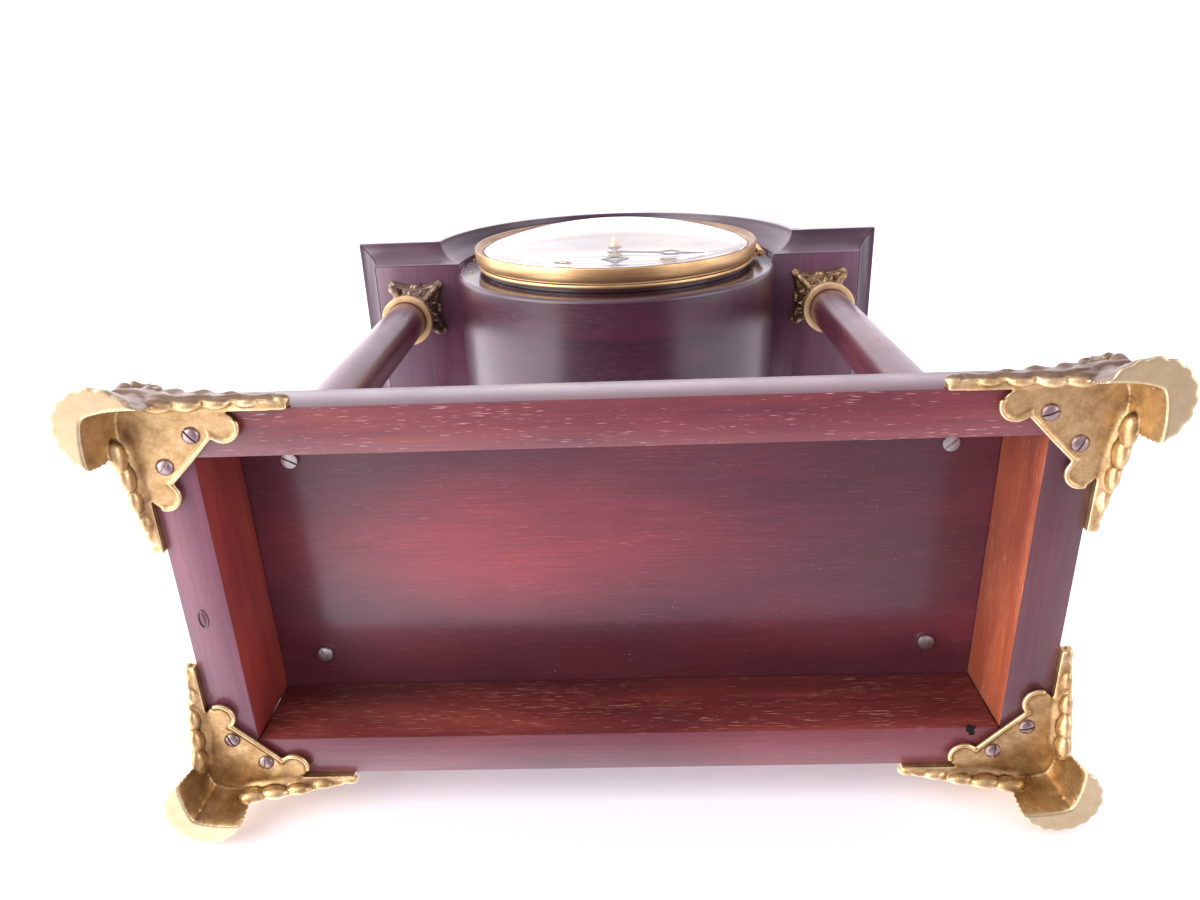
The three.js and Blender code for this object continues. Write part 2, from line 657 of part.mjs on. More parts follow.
function soffitBoard(side) {
  const board = box(
    archInner * 0.9, soffitHalf - SEAT_GAP, SEAT_GAP - headHalfDepth, headHalfDepth, 0, COVE_HEIGHT,
  );
  const drumRoom = bar(archInner, -BASE_DEPTH, BASE_DEPTH, 0, 0, RIM_SEGMENTS);
  const sockets = [-COLUMN_Y, COLUMN_Y].map((y) =>
    post(TENON_RADIUS + SEAT_GAP, -1, TENON_IN_SOFFIT + SEAT_GAP, COLUMN_X, y, SHAFT_SEGMENTS),
  );
  const mesh = meshOf("soffit_" + (side < 0 ? "left" : "right"), cut(board, drumRoom, ...sockets), darkWood);
  mesh.scale.x = side;
  return mesh;
}

// The shoulders and the arch behind the cornice, in one built-up piece.
function headTop() {
  const [x, z0, z1] = [soffitHalf - SEAT_GAP, COVE_HEIGHT + SEAT_GAP, corniceHeight];
  const [outer, inner] = [Math.asin(z1 / archOuter), Math.asin(z0 / archInner)];
  const outline = new THREE.Shape();
  outline.moveTo(x, z0);
  outline.lineTo(x, z1);
  outline.absarc(0, 0, archOuter, outer, Math.PI - outer, false);
  outline.lineTo(-x, z1);
  outline.lineTo(-x, z0);
  outline.absarc(0, 0, archInner, Math.PI - inner, inner, true);
  return meshOf("head_top", slab(outline, SEAT_GAP - headHalfDepth, headHalfDepth, ARCH_STEPS), darkWood);
}

function mirrored(name, solid, look, side) {
  const mesh = meshOf(name, solid, look);
  mesh.scale.x = side;
  return mesh;
}

function drumShell() {
  const [front, rear, r, opening] = [drumFront, drumRear, DRUM_RADIUS, DRUM_OPENING_RADIUS];
  const seat = front + DRUM_FACE_THICKNESS;
  const bend = DRUM_ARRIS * (1 - Math.SQRT1_2);
  const profile = [
    [opening, front], [r - DRUM_ARRIS, front], [r - bend, front + bend], [r, front + DRUM_ARRIS],
    [r, rear], [drumInner, rear], [drumInner, seat], [opening, seat], [opening, front],
  ];
  return turned(profile, RIM_SEGMENTS);
}

function drumBack() {
  const [outer, y0, y1] = [drumInner - SEAT_GAP, backFront, drumRear - SEAT_GAP];
  return turned(
    [[backOpening, y0], [outer, y0], [outer, y1], [backOpening, y1], [backOpening, y0]],
    RIM_SEGMENTS,
  );
}

// ---- Bezel and back door ----

// An upright hinge barrel at (x, y) from z0 to z1, with a lug towards the ring that it belongs to.
function knuckle(x, y, z0, z1, lugEnd, lugY0, lugY1) {
  const lug = box(Math.min(lugEnd, x), Math.max(lugEnd, x), lugY0, lugY1, z0, z1);
  return union(post(KNUCKLE_RADIUS, z0, z1, x, y), lug);
}

// The fixed half of a hinge: an upper and a lower barrel with the pin through both.
function fixedKnuckles(x, y, lugEnd, lugY0, lugY1) {
  const half = KNUCKLE_LENGTH / 2;
  const far = half + SEAT_GAP + KNUCKLE_LENGTH;
  return union(
    knuckle(x, y, half + SEAT_GAP, far, lugEnd, lugY0, lugY1),
    knuckle(x, y, -far, -half - SEAT_GAP, lugEnd, lugY0, lugY1),
    post(HINGE_PIN_RADIUS, -far, far, x, y),
  );
}

function movingKnuckle(x, y, lugEnd, lugY0, lugY1) {
  const half = KNUCKLE_LENGTH / 2;
  const bore = post(HINGE_PIN_RADIUS + HINGE_CLEARANCE, -half - 1, half + 1, x, y);
  return { barrel: knuckle(x, y, -half, half, lugEnd, lugY0, lugY1), bore };
}

// The ring on the drum's face. The dial lies in it, and the bezel closes against it.
function bezelRing() {
  const [front, rear, inner] = [ringFront, drumFront - SEAT_GAP, RING_INNER_RADIUS];
  const [ledge, lip] = [dialBack + SEAT_GAP, DIAL_RADIUS + 0.4];
  const ring = turned(
    [
      [inner, ledge], [lip, ledge], [lip, front], [RING_RADIUS, front], [RING_RADIUS - 1, rear],
      [inner, rear], [inner, ledge],
    ],
    RIM_SEGMENTS,
  );
  return union(ring, fixedKnuckles(hingeX, hingeY, RING_RADIUS - 0.8, front, front + 1.6));
}

function bezel() {
  const [r, sight] = [BEZEL_FRONT_RADIUS, BEZEL_SIGHT_RADIUS];
  const wall = BEZEL_BACK_RADIUS - BEZEL_WALL;
  const lipRear = bezelFront + BEZEL_LIP;
  const rim = turned(
    [
      [wall, bezelRear], [BEZEL_BACK_RADIUS, bezelRear], [r, bezelFront + 1], [r - 1, bezelFront],
      [sight, bezelFront + 2], [sight, lipRear], [wall, lipRear], [wall, bezelRear],
    ],
    RIM_SEGMENTS,
  );
  const lugEnd = BEZEL_BACK_RADIUS - 0.6;
  const { barrel, bore } = movingKnuckle(hingeX, hingeY, lugEnd, bezelRear - 1.6, bezelRear - 0.1);
  return cut(union(rim, barrel), bore);
}

// A shallow dome with a flat rim, held behind the bezel's lip.
function bezelGlass() {
  const rimFront = bezelFront + BEZEL_LIP + SEAT_GAP;
  const rimRadius = BEZEL_BACK_RADIUS - BEZEL_WALL - SEAT_GAP;
  const domeRadius = BEZEL_SIGHT_RADIUS - 0.6;
  const rows = 3;
  const sag = (share) => GLASS_RISE * (1 - share * share);
  const outside = [];
  const inside = [];
  for (let i = 0; i <= rows; i++) {
    const share = i / rows;
    outside.push([domeRadius * share, rimFront - sag(share)]);
    inside.unshift([domeRadius * share, rimFront + GLASS_THICKNESS - sag(share)]);
  }
  const rim = [[rimRadius, rimFront], [rimRadius, rimFront + GLASS_THICKNESS]];
  return turned([...outside, ...rim, ...inside], RIM_SEGMENTS);
}

function rearRing() {
  const [front, face, rear] = [drumRear - REAR_RING_SPIGOT, drumRear, drumRear + REAR_RING_FACE];
  const spigot = backOpening - SEAT_GAP;
  const [inner, outer] = [spigot - REAR_RING_WALL, spigot + REAR_RING_LAP];
  const profile = [
    [inner, front], [spigot, front], [spigot, face], [outer, face],
    [outer, rear], [inner, rear], [inner, front],
  ];
  const ring = turned(profile, RIM_SEGMENTS);
  return union(ring, fixedKnuckles(spigot + REAR_HINGE_REACH, rearHingeY, outer - 1, face, rear));
}

function rearDoor() {
  const [face, r] = [drumRear + REAR_RING_FACE + SEAT_GAP, backOpening + REAR_DOOR_LAP];
  const rear = face + REAR_DOOR_THICKNESS;
  const disc = turned([[0, face], [r, face], [r - 0.4, rear], [0, rear]], RIM_SEGMENTS);
  const [stem, wide] = [1.5, KNOB_RADIUS];
  const profile = [[0, 0.6], [stem, 0.6], [stem, 3], [wide, 4.2], [wide, 5.4], [0, KNOB_REACH]];
  const knob = turned(profile.map(([radius, y]) => [radius, face + y]), HOLE_SEGMENTS, KNOB_INSET - r, 0);
  const hingeAt = backOpening - SEAT_GAP + REAR_HINGE_REACH;
  const { barrel, bore } = movingKnuckle(hingeAt, rearHingeY, r - 1, face + 0.1, rear - 0.1);
  return cut(union(disc, knob, barrel), bore);
}

// ---- Dial and hands ----

function dial() {
  const disc = bar(DIAL_RADIUS, dialFront, dialBack, 0, 0, RIM_SEGMENTS);
  const feet = [90, 210, 330].map((angle) => {
    const [x, z] = [DIAL_FOOT_CIRCLE * Math.cos(radians(angle)), DIAL_FOOT_CIRCLE * Math.sin(radians(angle))];
    return bar(DIAL_FOOT_RADIUS, dialBack - 0.4, platesFront - SEAT_GAP, x, z, 8);
  });
  const holes = [-WINDING_X, WINDING_X].map((x) =>
    bar(WINDING_HOLE_RADIUS, dialFront - 1, dialBack + 1, x, -WINDING_DROP, HOLE_SEGMENTS),
  );
  const centre = bar(DIAL_CENTRE_HOLE, dialFront - 1, dialBack + 1, 0, 0, HOLE_SEGMENTS);
  return cut(union(disc, ...feet), centre, ...holes);
}

// A hand that points up: a collar, a tapering shank, a pierced ring and a leaf-shaped point.
function hand(length, ringAt, collar, bore, front) {
  const outer = HAND_RING_RADIUS;
  const shank = HAND_SHANK / 2;
  const outline = new THREE.Shape();
  outline.moveTo(-shank, 0);
  outline.lineTo(-shank * 0.6, ringAt - outer * 0.9);
  outline.absarc(0, ringAt, outer, radians(255), radians(105), true);
  outline.lineTo(0, length);
  outline.absarc(0, ringAt, outer, radians(75), radians(-75), true);
  outline.lineTo(shank, 0);
  outline.holes.push(new THREE.Path().absarc(0, ringAt, outer - HAND_RING_WIDTH, 0, 2 * Math.PI, false));
  const rear = front + HAND_THICKNESS;
  const blade = slab(outline, front, rear, 6);
  const ring = bar(collar, front, rear, 0, 0, HOLE_SEGMENTS);
  return cut(union(blade, ring), bar(bore, front - 1, rear + 1, 0, 0, HOLE_SEGMENTS));
}

function minuteHand() {
  const bore = HAND_ARBOR_RADIUS + SEAT_GAP;
  return hand(MINUTE_HAND_LENGTH, MINUTE_HAND_RING, bore + 1.8, bore, minuteHandFront);
}

function hourHand() {
  const bore = HAND_ARBOR_RADIUS + 3 * SEAT_GAP + HOUR_PIPE_WALL;
  return hand(HOUR_HAND_LENGTH, HOUR_HAND_RING, bore + 1.8, bore, hourHandFront);
}

function placedHand(name, solid, clockAngle) {
  const mesh = meshOf(name, solid, blued);
  mesh.rotation.y = radians(clockAngle);
  return mesh;
}

function handNut() {
  const [rear, front, r] = [minuteHandFront - SEAT_GAP, nutFront, HAND_NUT_RADIUS];
  const bore = HAND_ARBOR_RADIUS + SEAT_GAP;
  const dome = [[0, front], [r * 0.55, front + 0.3], [r * 0.8, front + 1.2], [r, rear]];
  return turned([...dome, [bore, rear], [bore, front + 1], [0, front + 1]], HOLE_SEGMENTS);
}

// ---- Movement ----

function pillarSpots() {
  const x = PLATE_HALF_WIDTH - PILLAR_INSET;
  const [low, high] = [PILLAR_INSET - PLATE_BOTTOM, PLATE_TOP - PILLAR_DROP];
  return [[-x, low], [x, low], [-x, high], [x, high]];
}

const gearDistance = (GEAR_MODULE * (CENTRE_TEETH + PINION_LEAVES)) / 2;
const thirdSpot = [
  gearDistance * Math.cos(radians(THIRD_ANGLE)), gearDistance * Math.sin(radians(THIRD_ANGLE)),
];
const barrelSpot = [WINDING_X, -WINDING_DROP];
const hammerSpot = [HAMMER_X, HAMMER_RISE];

function pivotHoles(y0, y1) {
  const fine = PIVOT_RADIUS + SEAT_GAP;
  return [thirdSpot, [0, ESCAPE_RISE]].map(([x, z]) => bar(fine, y0 - 1, y1 + 1, x, z));
}

// A plate of the movement. Where a corner would come too near the drum's wall, it is rounded off.
function plateBlank(y0, y1) {
  const outline = polygon([
    [-PLATE_HALF_WIDTH, -PLATE_BOTTOM], [PLATE_HALF_WIDTH, -PLATE_BOTTOM],
    [PLATE_HALF_WIDTH, PLATE_TOP], [-PLATE_HALF_WIDTH, PLATE_TOP],
  ]);
  return slab(outline, y0, y1).intersect(bar(plateReach, y0 - 1, y1 + 1, 0, 0, RIM_SEGMENTS));
}

// The front plate has four ears that lie against the back of the drum's face, and the pillars.
function frontPlate() {
  const [y0, y1] = [platesFront, frontPlateRear];
  const ears = [45, -45].map((angle) => {
    const [x, z] = [plateReach * Math.cos(radians(angle)), plateReach * Math.sin(radians(angle))];
    return strip([-x, -z], [x, z], PLATE_EAR_WIDTH, y0, y1);
  });
  const pillars = pillarSpots().map(([x, z]) => bar(PILLAR_RADIUS, y0 + 1, backPlateFront - SEAT_GAP, x, z));
  const wide = BARREL_ARBOR_RADIUS + SEAT_GAP;
  const winding = [-1, 1].map((s) => bar(wide, y0 - 1, y1 + 1, s * WINDING_X, -WINDING_DROP));
  const others = [
    bar(CENTRE_ARBOR_RADIUS + SEAT_GAP, y0 - 1, y1 + 1),
    bar(PIVOT_RADIUS + SEAT_GAP, y0 - 1, y1 + 1, 0, ANCHOR_RISE),
    bar(PIVOT_RADIUS + SEAT_GAP, y0 - 1, y1 + 1, ...hammerSpot),
  ];
  return cut(union(plateBlank(y0, y1), ...ears, ...pillars), ...winding, ...others, ...pivotHoles(y0, y1));
}

function backPlate() {
  const [y0, y1] = [backPlateFront, backPlateRear];
  const fine = PIVOT_RADIUS + SEAT_GAP;
  const holes = [
    bar(fine, y0 - 1, y1 + 1),
    bar(fine, y0 - 1, y1 + 1, -WINDING_X, -WINDING_DROP),
    bar(fine, y0 - 1, y1 + 1, WINDING_X, -WINDING_DROP),
    bar(ARBOR_RADIUS + SEAT_GAP, y0 - 1, y1 + 1, 0, ANCHOR_RISE),
    bar(ARBOR_RADIUS + SEAT_GAP, y0 - 1, y1 + 1, ...hammerSpot),
  ];
  return cut(plateBlank(y0, y1), ...holes, ...pivotHoles(y0, y1));
}

// An arbor at (x, z), with a fine pivot in the back plate. front gives its front end as [radius, y] points.
function arbor(x, z, radius, front) {
  const shoulder = backPlateFront - SEAT_GAP;
  const end = backPlateRear - SEAT_GAP;
  const pivot = [[radius, shoulder], [PIVOT_RADIUS, shoulder], [PIVOT_RADIUS, end], [0, end]];
  return turned([...front, ...pivot], PIN_SEGMENTS, x, z);
}

// The front end of an arbor that has a fine pivot in the front plate too.
function pivotFront(radius) {
  const [tip, shoulder] = [platesFront + SEAT_GAP, frontPlateRear + SEAT_GAP];
  return [[0, tip], [PIVOT_RADIUS, tip], [PIVOT_RADIUS, shoulder], [radius, shoulder]];
}

// A toothed outline. phase is the angle of the first tooth.
function gearOutline(teeth, phase) {
  const pitch = (GEAR_MODULE * teeth) / 2;
  const step = (2 * Math.PI) / teeth;
  const corner = [[-0.26, -1], [-0.1, 0.75], [0.1, 0.75], [0.26, -1]];
  const points = [];
  for (let i = 0; i < teeth; i++) {
    for (const [turn, rise] of corner) {
      const angle = phase + (i + turn) * step;
      const r = pitch + rise * GEAR_MODULE;
      points.push([r * Math.cos(angle), r * Math.sin(angle)]);
    }
  }
  return polygon(points);
}

// Planes of the wheels, counted forwards from the back plate.
const escapeRear = backPlateFront - 2;
const thirdRear = escapeRear - WHEEL_THICKNESS - 1;
const centreRear = thirdRear - WHEEL_THICKNESS - 2.5;
const barrelRear = centreRear - WHEEL_THICKNESS - 2;

function centreWheel() {
  const teeth = gearOutline(CENTRE_TEETH, radians(THIRD_ANGLE));
  const wheel = slab(teeth, centreRear - WHEEL_THICKNESS, centreRear);
  const tip = nutFront + 1 + SEAT_GAP;
  const step = platesFront - 1;
  const front = [[0, tip], [HAND_ARBOR_RADIUS, tip], [HAND_ARBOR_RADIUS, step], [CENTRE_ARBOR_RADIUS, step]];
  return union(wheel, arbor(0, 0, CENTRE_ARBOR_RADIUS, front));
}

// The hour wheel's pipe runs over the centre arbor and through the dial.
function hourWheel() {
  const bore = HAND_ARBOR_RADIUS + 2 * SEAT_GAP;
  const outer = bore + HOUR_PIPE_WALL;
  const [tip, rear] = [hourHandFront - SEAT_GAP, platesFront - 1 - SEAT_GAP];
  return turned(
    [
      [bore, tip], [outer, tip], [outer, rear - WHEEL_THICKNESS], [HOUR_WHEEL_RADIUS, rear - WHEEL_THICKNESS],
      [HOUR_WHEEL_RADIUS, rear], [bore, rear], [bore, tip],
    ],
    SHAFT_SEGMENTS,
  );
}

function thirdWheel() {
  const [x, z] = thirdSpot;
  const phase = radians(THIRD_ANGLE) + Math.PI + Math.PI / PINION_LEAVES;
  const pinionOutline = gearOutline(PINION_LEAVES, phase);
  const pinionFront = centreRear - WHEEL_THICKNESS - 1;
  const options = { depth: WHEEL_THICKNESS + 2, bevelEnabled: false };
  const pinion = new THREE.ExtrudeGeometry(pinionOutline, options).rotateX(Math.PI / 2);
  const radius = gearDistance - 4.5;
  const wheel = bar(radius, thirdRear - WHEEL_THICKNESS, thirdRear, x, z, WHEEL_SEGMENTS);
  const leaves = solidOf(pinion.translate(x, pinionFront + WHEEL_THICKNESS + 2, z));
  return union(wheel, leaves, arbor(x, z, ARBOR_RADIUS, pivotFront(ARBOR_RADIUS)));
}

function escapeWheel() {
  const points = [];
  const step = (2 * Math.PI) / ESCAPE_TEETH;
  const root = ESCAPE_RADIUS * ESCAPE_ROOT;
  for (let i = 0; i < ESCAPE_TEETH; i++) {
    const [tip, foot] = [i * step, (i + 0.3) * step];
    points.push([ESCAPE_RADIUS * Math.cos(tip), ESCAPE_RADIUS * Math.sin(tip)]);
    points.push([root * Math.cos(foot), root * Math.sin(foot)]);
  }
  const wheel = new THREE.ExtrudeGeometry(polygon(points), { depth: WHEEL_THICKNESS, bevelEnabled: false });
  wheel.rotateX(Math.PI / 2).translate(0, escapeRear, ESCAPE_RISE);
  return union(solidOf(wheel), arbor(0, ESCAPE_RISE, ARBOR_RADIUS, pivotFront(ARBOR_RADIUS)));
}

// A spring barrel with its great wheel, and the arbor whose squared end is wound through the dial.
function barrel(side) {
  const [x, z] = [side * barrelSpot[0], barrelSpot[1]];
  const [rear, front] = [barrelRear, barrelRear - BARREL_LENGTH];
  const drum = turned(
    [
      [0, front], [BARREL_RADIUS, front], [BARREL_RADIUS, rear - 2], [GREAT_WHEEL_RADIUS, rear - 2],
      [GREAT_WHEEL_RADIUS, rear], [0, rear],
    ],
    WHEEL_SEGMENTS, x, z,
  );
  const shoulder = dialBack + 3;
  const r = BARREL_ARBOR_RADIUS;
  const half = WINDING_SQUARE / 2;
  const square = box(x - half, x + half, dialFront - 0.3, shoulder + 0.5, z - half, z + half);
  return union(drum, arbor(x, z, r, [[0, shoulder], [r, shoulder]]), square);
}

// Pallets in the escape wheel's plane, an arbor through the back plate, and the crutch with its fork.
function anchor() {
  const [y0, y1] = [escapeRear - WHEEL_THICKNESS, escapeRear];
  const hub = [0, ANCHOR_RISE];
  const palletRise = ANCHOR_RISE - PALLET_DROP;
  const arms = [-1, 1].map((s) => strip(hub, [s * PALLET_SPREAD, palletRise], CRUTCH_WIDTH, y0, y1));
  const crutchY = backPlateRear + SEAT_GAP;
  const crutchRear = crutchY + CRUTCH_THICKNESS;
  const forkZ = ANCHOR_RISE - CRUTCH_LENGTH;
  const crutch = strip(hub, [0, forkZ - 1], CRUTCH_WIDTH, crutchY, crutchRear);
  const prong = ROD_RADIUS + SEAT_GAP;
  const bridge = box(-prong - 1, prong + 1, crutchY, crutchRear, forkZ - 1, forkZ + 1);
  const prongs = [-1, 1].map((s) => {
    const [a, b] = [s * prong, s * (prong + 1)];
    return box(Math.min(a, b), Math.max(a, b), crutchY + 1, PENDULUM_Y + 2, forkZ - 1, forkZ + 1);
  });
  const staff = turned(
    [...pivotFront(ARBOR_RADIUS), [ARBOR_RADIUS, crutchRear], [0, crutchRear]], PIN_SEGMENTS, 0, ANCHOR_RISE,
  );
  const hubs = [bar(HUB_RADIUS, y0, y1, ...hub), bar(HUB_RADIUS, crutchY, crutchRear, ...hub)];
  return union(staff, ...hubs, ...arms, crutch, bridge, ...prongs);
}

// ---- Pendulum, gong and hammer ----

// The cock on the back plate that clamps the top of the suspension spring.
function pendulumCock() {
  const z0 = ANCHOR_RISE + COCK_RISE;
  const y0 = backPlateRear + SEAT_GAP;
  const [half, armHalf, slotHalf] = [COCK_WIDTH / 2, COCK_ARM_WIDTH / 2, COCK_SLOT / 2];
  const [springFront, springRear] = [PENDULUM_Y - SPRING_HALF_WIDTH, PENDULUM_Y + SPRING_HALF_WIDTH];
  const foot = box(-half, half, y0, y0 + COCK_FOOT, z0, z0 + COCK_HEIGHT);
  const arm = box(-armHalf, armHalf, y0 + 2, springRear + 1, z0, z0 + COCK_ARM_HEIGHT);
  const slot = box(-slotHalf, slotHalf, springFront - SEAT_GAP, springRear + 2, z0 - 1, z0 + COCK_SLOT_DEPTH);
  return cut(union(foot, arm), slot);
}

// Suspension spring, rod and rating nut.
function pendulumRod() {
  const springTop = ANCHOR_RISE + COCK_RISE + COCK_SLOT_DEPTH - SEAT_GAP;
  const springBottom = ANCHOR_RISE - SPRING_DROP;
  const [thin, wide] = [SPRING_THICKNESS / 2, SPRING_HALF_WIDTH];
  const spring = box(-thin, thin, PENDULUM_Y - wide, PENDULUM_Y + wide, springBottom - 1, springTop);
  const blockBottom = springBottom - SPRING_BLOCK;
  const [clampFront, clampRear] = [PENDULUM_Y - wide - 0.5, PENDULUM_Y + wide + 0.5];
  const block = box(-ROD_RADIUS, ROD_RADIUS, clampFront, clampRear, blockBottom, springBottom);
  const bobBottom = ANCHOR_RISE - PENDULUM_LENGTH - BOB_RADIUS;
  const nutTop = bobBottom - SEAT_GAP;
  const rod = post(ROD_RADIUS, nutTop - ROD_END, blockBottom + 1, 0, PENDULUM_Y);
  const nut = post(RATING_NUT_RADIUS, nutTop - RATING_NUT_HEIGHT, nutTop, 0, PENDULUM_Y);
  return union(spring, block, rod, nut);
}

function pendulumBob() {
  const [y, half, z] = [PENDULUM_Y, BOB_THICKNESS / 2, ANCHOR_RISE - PENDULUM_LENGTH];
  const lens = turned(
    [
      [0, y - half], [BOB_RADIUS * 0.55, y - half * 0.85], [BOB_RADIUS, y - half * 0.3],
      [BOB_RADIUS, y + half * 0.3], [BOB_RADIUS * 0.55, y + half * 0.85], [0, y + half],
    ],
    WHEEL_SEGMENTS, 0, z,
  );
  return cut(lens, post(ROD_RADIUS + SEAT_GAP, z - BOB_RADIUS - 1, z + BOB_RADIUS + 1, 0, y));
}

const gongOuter = GONG_INNER_RADIUS + GONG_TURNS * GONG_PITCH;
const gongEndX = 8;

// Middle line of the gong's wire: a flat spiral with a short straight run at both ends.
function gongRoute() {
  const route = [];
  const steps = GONG_TURNS * GONG_LOOP_STEPS;
  for (let i = 0; i <= steps; i++) {
    const angle = -Math.PI / 2 + (2 * Math.PI * (i - steps)) / GONG_LOOP_STEPS;
    const r = GONG_INNER_RADIUS + (GONG_PITCH * i) / GONG_LOOP_STEPS;
    route.push([r * Math.cos(angle), r * Math.sin(angle)]);
  }
  route.unshift([route[0][0] - 2 * GONG_WIRE_RADIUS, route[0][1]]);
  route.push([gongEndX - SEAT_GAP, -gongOuter]);
  return route;
}

// The least gap between two stretches of the wire that lie at least half a turn apart.
function leastGap(route) {
  let least = Infinity;
  route.forEach(([xa, za], i) => {
    for (let j = i + GONG_LOOP_STEPS / 2; j < route.length; j++) {
      least = Math.min(least, Math.hypot(route[j][0] - xa, route[j][1] - za));
    }
  });
  return least - 2 * GONG_WIRE_RADIUS;
}

function gong() {
  const route = gongRoute();
  console.log("gong coil, least gap to itself: " + leastGap(route).toFixed(2) + " mm");
  const wire = ringed(route.length, 6, (row, angle, spread) => {
    const [x, z] = route[row];
    const [xa, za] = route[Math.max(row - 1, 0)];
    const [xb, zb] = route[Math.min(row + 1, route.length - 1)];
    const span = Math.hypot(xb - xa, zb - za);
    const side = GONG_WIRE_RADIUS * spread * Math.cos(angle);
    const deep = GONG_WIRE_RADIUS * spread * Math.sin(angle);
    return new THREE.Vector3(x - (side * (zb - za)) / span, gongY + deep, z + (side * (xb - xa)) / span);
  });
  return solidOf(wire);
}

// The iron block that stands on the drum's floor and holds the gong's outer end.
function gongBlock() {
  const half = GONG_BLOCK_DEPTH / 2;
  const end = gongEndX + GONG_BLOCK_WIDTH;
  const block = box(gongEndX, end, gongY - half, gongY + half, -DRUM_RADIUS, GONG_BLOCK_RISE - gongOuter);
  return block.intersect(bar(drumInner - SEAT_GAP, -BASE_DEPTH, BASE_DEPTH, 0, 0, RIM_SEGMENTS));
}

function strikeHammer() {
  const headAt = gongOuter + GONG_WIRE_RADIUS + HAMMER_REST + HAMMER_HEAD_LENGTH / 2;
  const [c, s] = [Math.cos(radians(HAMMER_STRIKE_ANGLE)), Math.sin(radians(HAMMER_STRIKE_ANGLE))];
  const head = new THREE.CylinderGeometry(HAMMER_HEAD_RADIUS, HAMMER_HEAD_RADIUS, HAMMER_HEAD_LENGTH, 12);
  head.rotateZ(-Math.PI / 2).rotateY(-radians(HAMMER_STRIKE_ANGLE)).translate(headAt * c, gongY, headAt * s);
  const [x, z] = hammerSpot;
  const end = gongY + 2;
  const staff = turned([...pivotFront(ARBOR_RADIUS), [ARBOR_RADIUS, end], [0, end]], PIN_SEGMENTS, x, z);
  const arm = strip(hammerSpot, [headAt * c, headAt * s], 2, gongY - 1, gongY + 1);
  return union(staff, arm, bar(HUB_RADIUS, gongY - HUB_RADIUS, gongY + HUB_RADIUS, x, z), solidOf(head));
}

function makeHead() {
  const head = new THREE.Group();
  head.position.z = soffitLevel;
  head.add(
    soffitBoard(-1),
    soffitBoard(1),
    mirrored("cornice_front_left", corniceFront(), wood, -1),
    mirrored("cornice_front_right", corniceFront(), wood, 1),
    mirrored("cornice_side_left", corniceSide(), wood, -1),
    mirrored("cornice_side_right", corniceSide(), wood, 1),
    meshOf("cornice_arch", corniceArch(), wood),
    headTop(),
    meshOf("drum_shell", drumShell(), darkWood),
    meshOf("drum_back", drumBack(), wood),
    meshOf("bezel_ring", bezelRing(), brass),
    meshOf("bezel", bezel(), brass),
    meshOf("bezel_glass", bezelGlass(), clear),
    meshOf("rear_ring", rearRing(), brass),
    meshOf("rear_door", rearDoor(), brass),
    meshOf("dial", dial(), enamel),
    placedHand("minute_hand", minuteHand(), MINUTE_HAND_ANGLE),
    placedHand("hour_hand", hourHand(), HOUR_HAND_ANGLE),
    meshOf("hand_nut", handNut(), brass),
  );
  addMovement(head);
  return head;
}

function addMovement(head) {
  head.add(
    meshOf("front_plate", frontPlate(), brass),
    meshOf("back_plate", backPlate(), brass),
    meshOf("going_barrel", barrel(1), brass),
    meshOf("strike_barrel", barrel(-1), brass),
    meshOf("centre_wheel", centreWheel(), brass),
    meshOf("hour_wheel", hourWheel(), brass),
    meshOf("third_wheel", thirdWheel(), brass),
    meshOf("escape_wheel", escapeWheel(), brass),
    meshOf("anchor", anchor(), steel),
    meshOf("pendulum_cock", pendulumCock(), brass),
    meshOf("pendulum_rod", pendulumRod(), steel),
    meshOf("pendulum_bob", pendulumBob(), brass),
    meshOf("strike_hammer", strikeHammer(), steel),
    meshOf("gong", gong(), steel),
    meshOf("gong_block", gongBlock(), iron),
  );
}

const clock = new THREE.Group();
clock.add(makeBase(), makeColumns(), makeHead());

export default clock;
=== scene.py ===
from math import acos, asin, atan, atan2, cos, degrees, exp, hypot, pi, radians, sin, sqrt, tau

import bmesh
import bpy
from mathutils import Matrix, Vector


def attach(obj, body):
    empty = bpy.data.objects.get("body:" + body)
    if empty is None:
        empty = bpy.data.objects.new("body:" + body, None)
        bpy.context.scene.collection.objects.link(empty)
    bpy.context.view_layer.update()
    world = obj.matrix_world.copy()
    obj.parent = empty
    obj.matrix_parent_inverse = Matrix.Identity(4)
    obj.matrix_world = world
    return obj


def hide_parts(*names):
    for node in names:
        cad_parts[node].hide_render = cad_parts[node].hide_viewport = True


# Sizes below are in millimetres. X is to the right, -Y is the front, Z is up from the floor.
MM = 0.001

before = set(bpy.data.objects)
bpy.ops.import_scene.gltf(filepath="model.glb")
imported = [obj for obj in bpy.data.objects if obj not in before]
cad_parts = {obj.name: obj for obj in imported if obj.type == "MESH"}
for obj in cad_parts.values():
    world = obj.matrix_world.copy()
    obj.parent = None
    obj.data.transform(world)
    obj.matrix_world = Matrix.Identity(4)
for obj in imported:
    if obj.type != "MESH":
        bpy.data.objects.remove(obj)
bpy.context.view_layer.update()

# ---- Sizes ----

FOOT_HEIGHT = 17.5
BASE_WIDTH, BASE_DEPTH = 280, 135
RAIL_THICKNESS = 15
FASCIA_HEIGHT = 15.7
COVE_DEPTH, COVE_HEIGHT = 10.2, 12.5
RAIL_LIP = 1.3
RAIL_HEIGHT = FASCIA_HEIGHT + COVE_HEIGHT + RAIL_LIP
GAP = 0.3
BOARD_LEVEL = FOOT_HEIGHT + RAIL_HEIGHT + GAP
BOARD_HALF = (131, 58.5)
BOARD_THICKNESS = 8

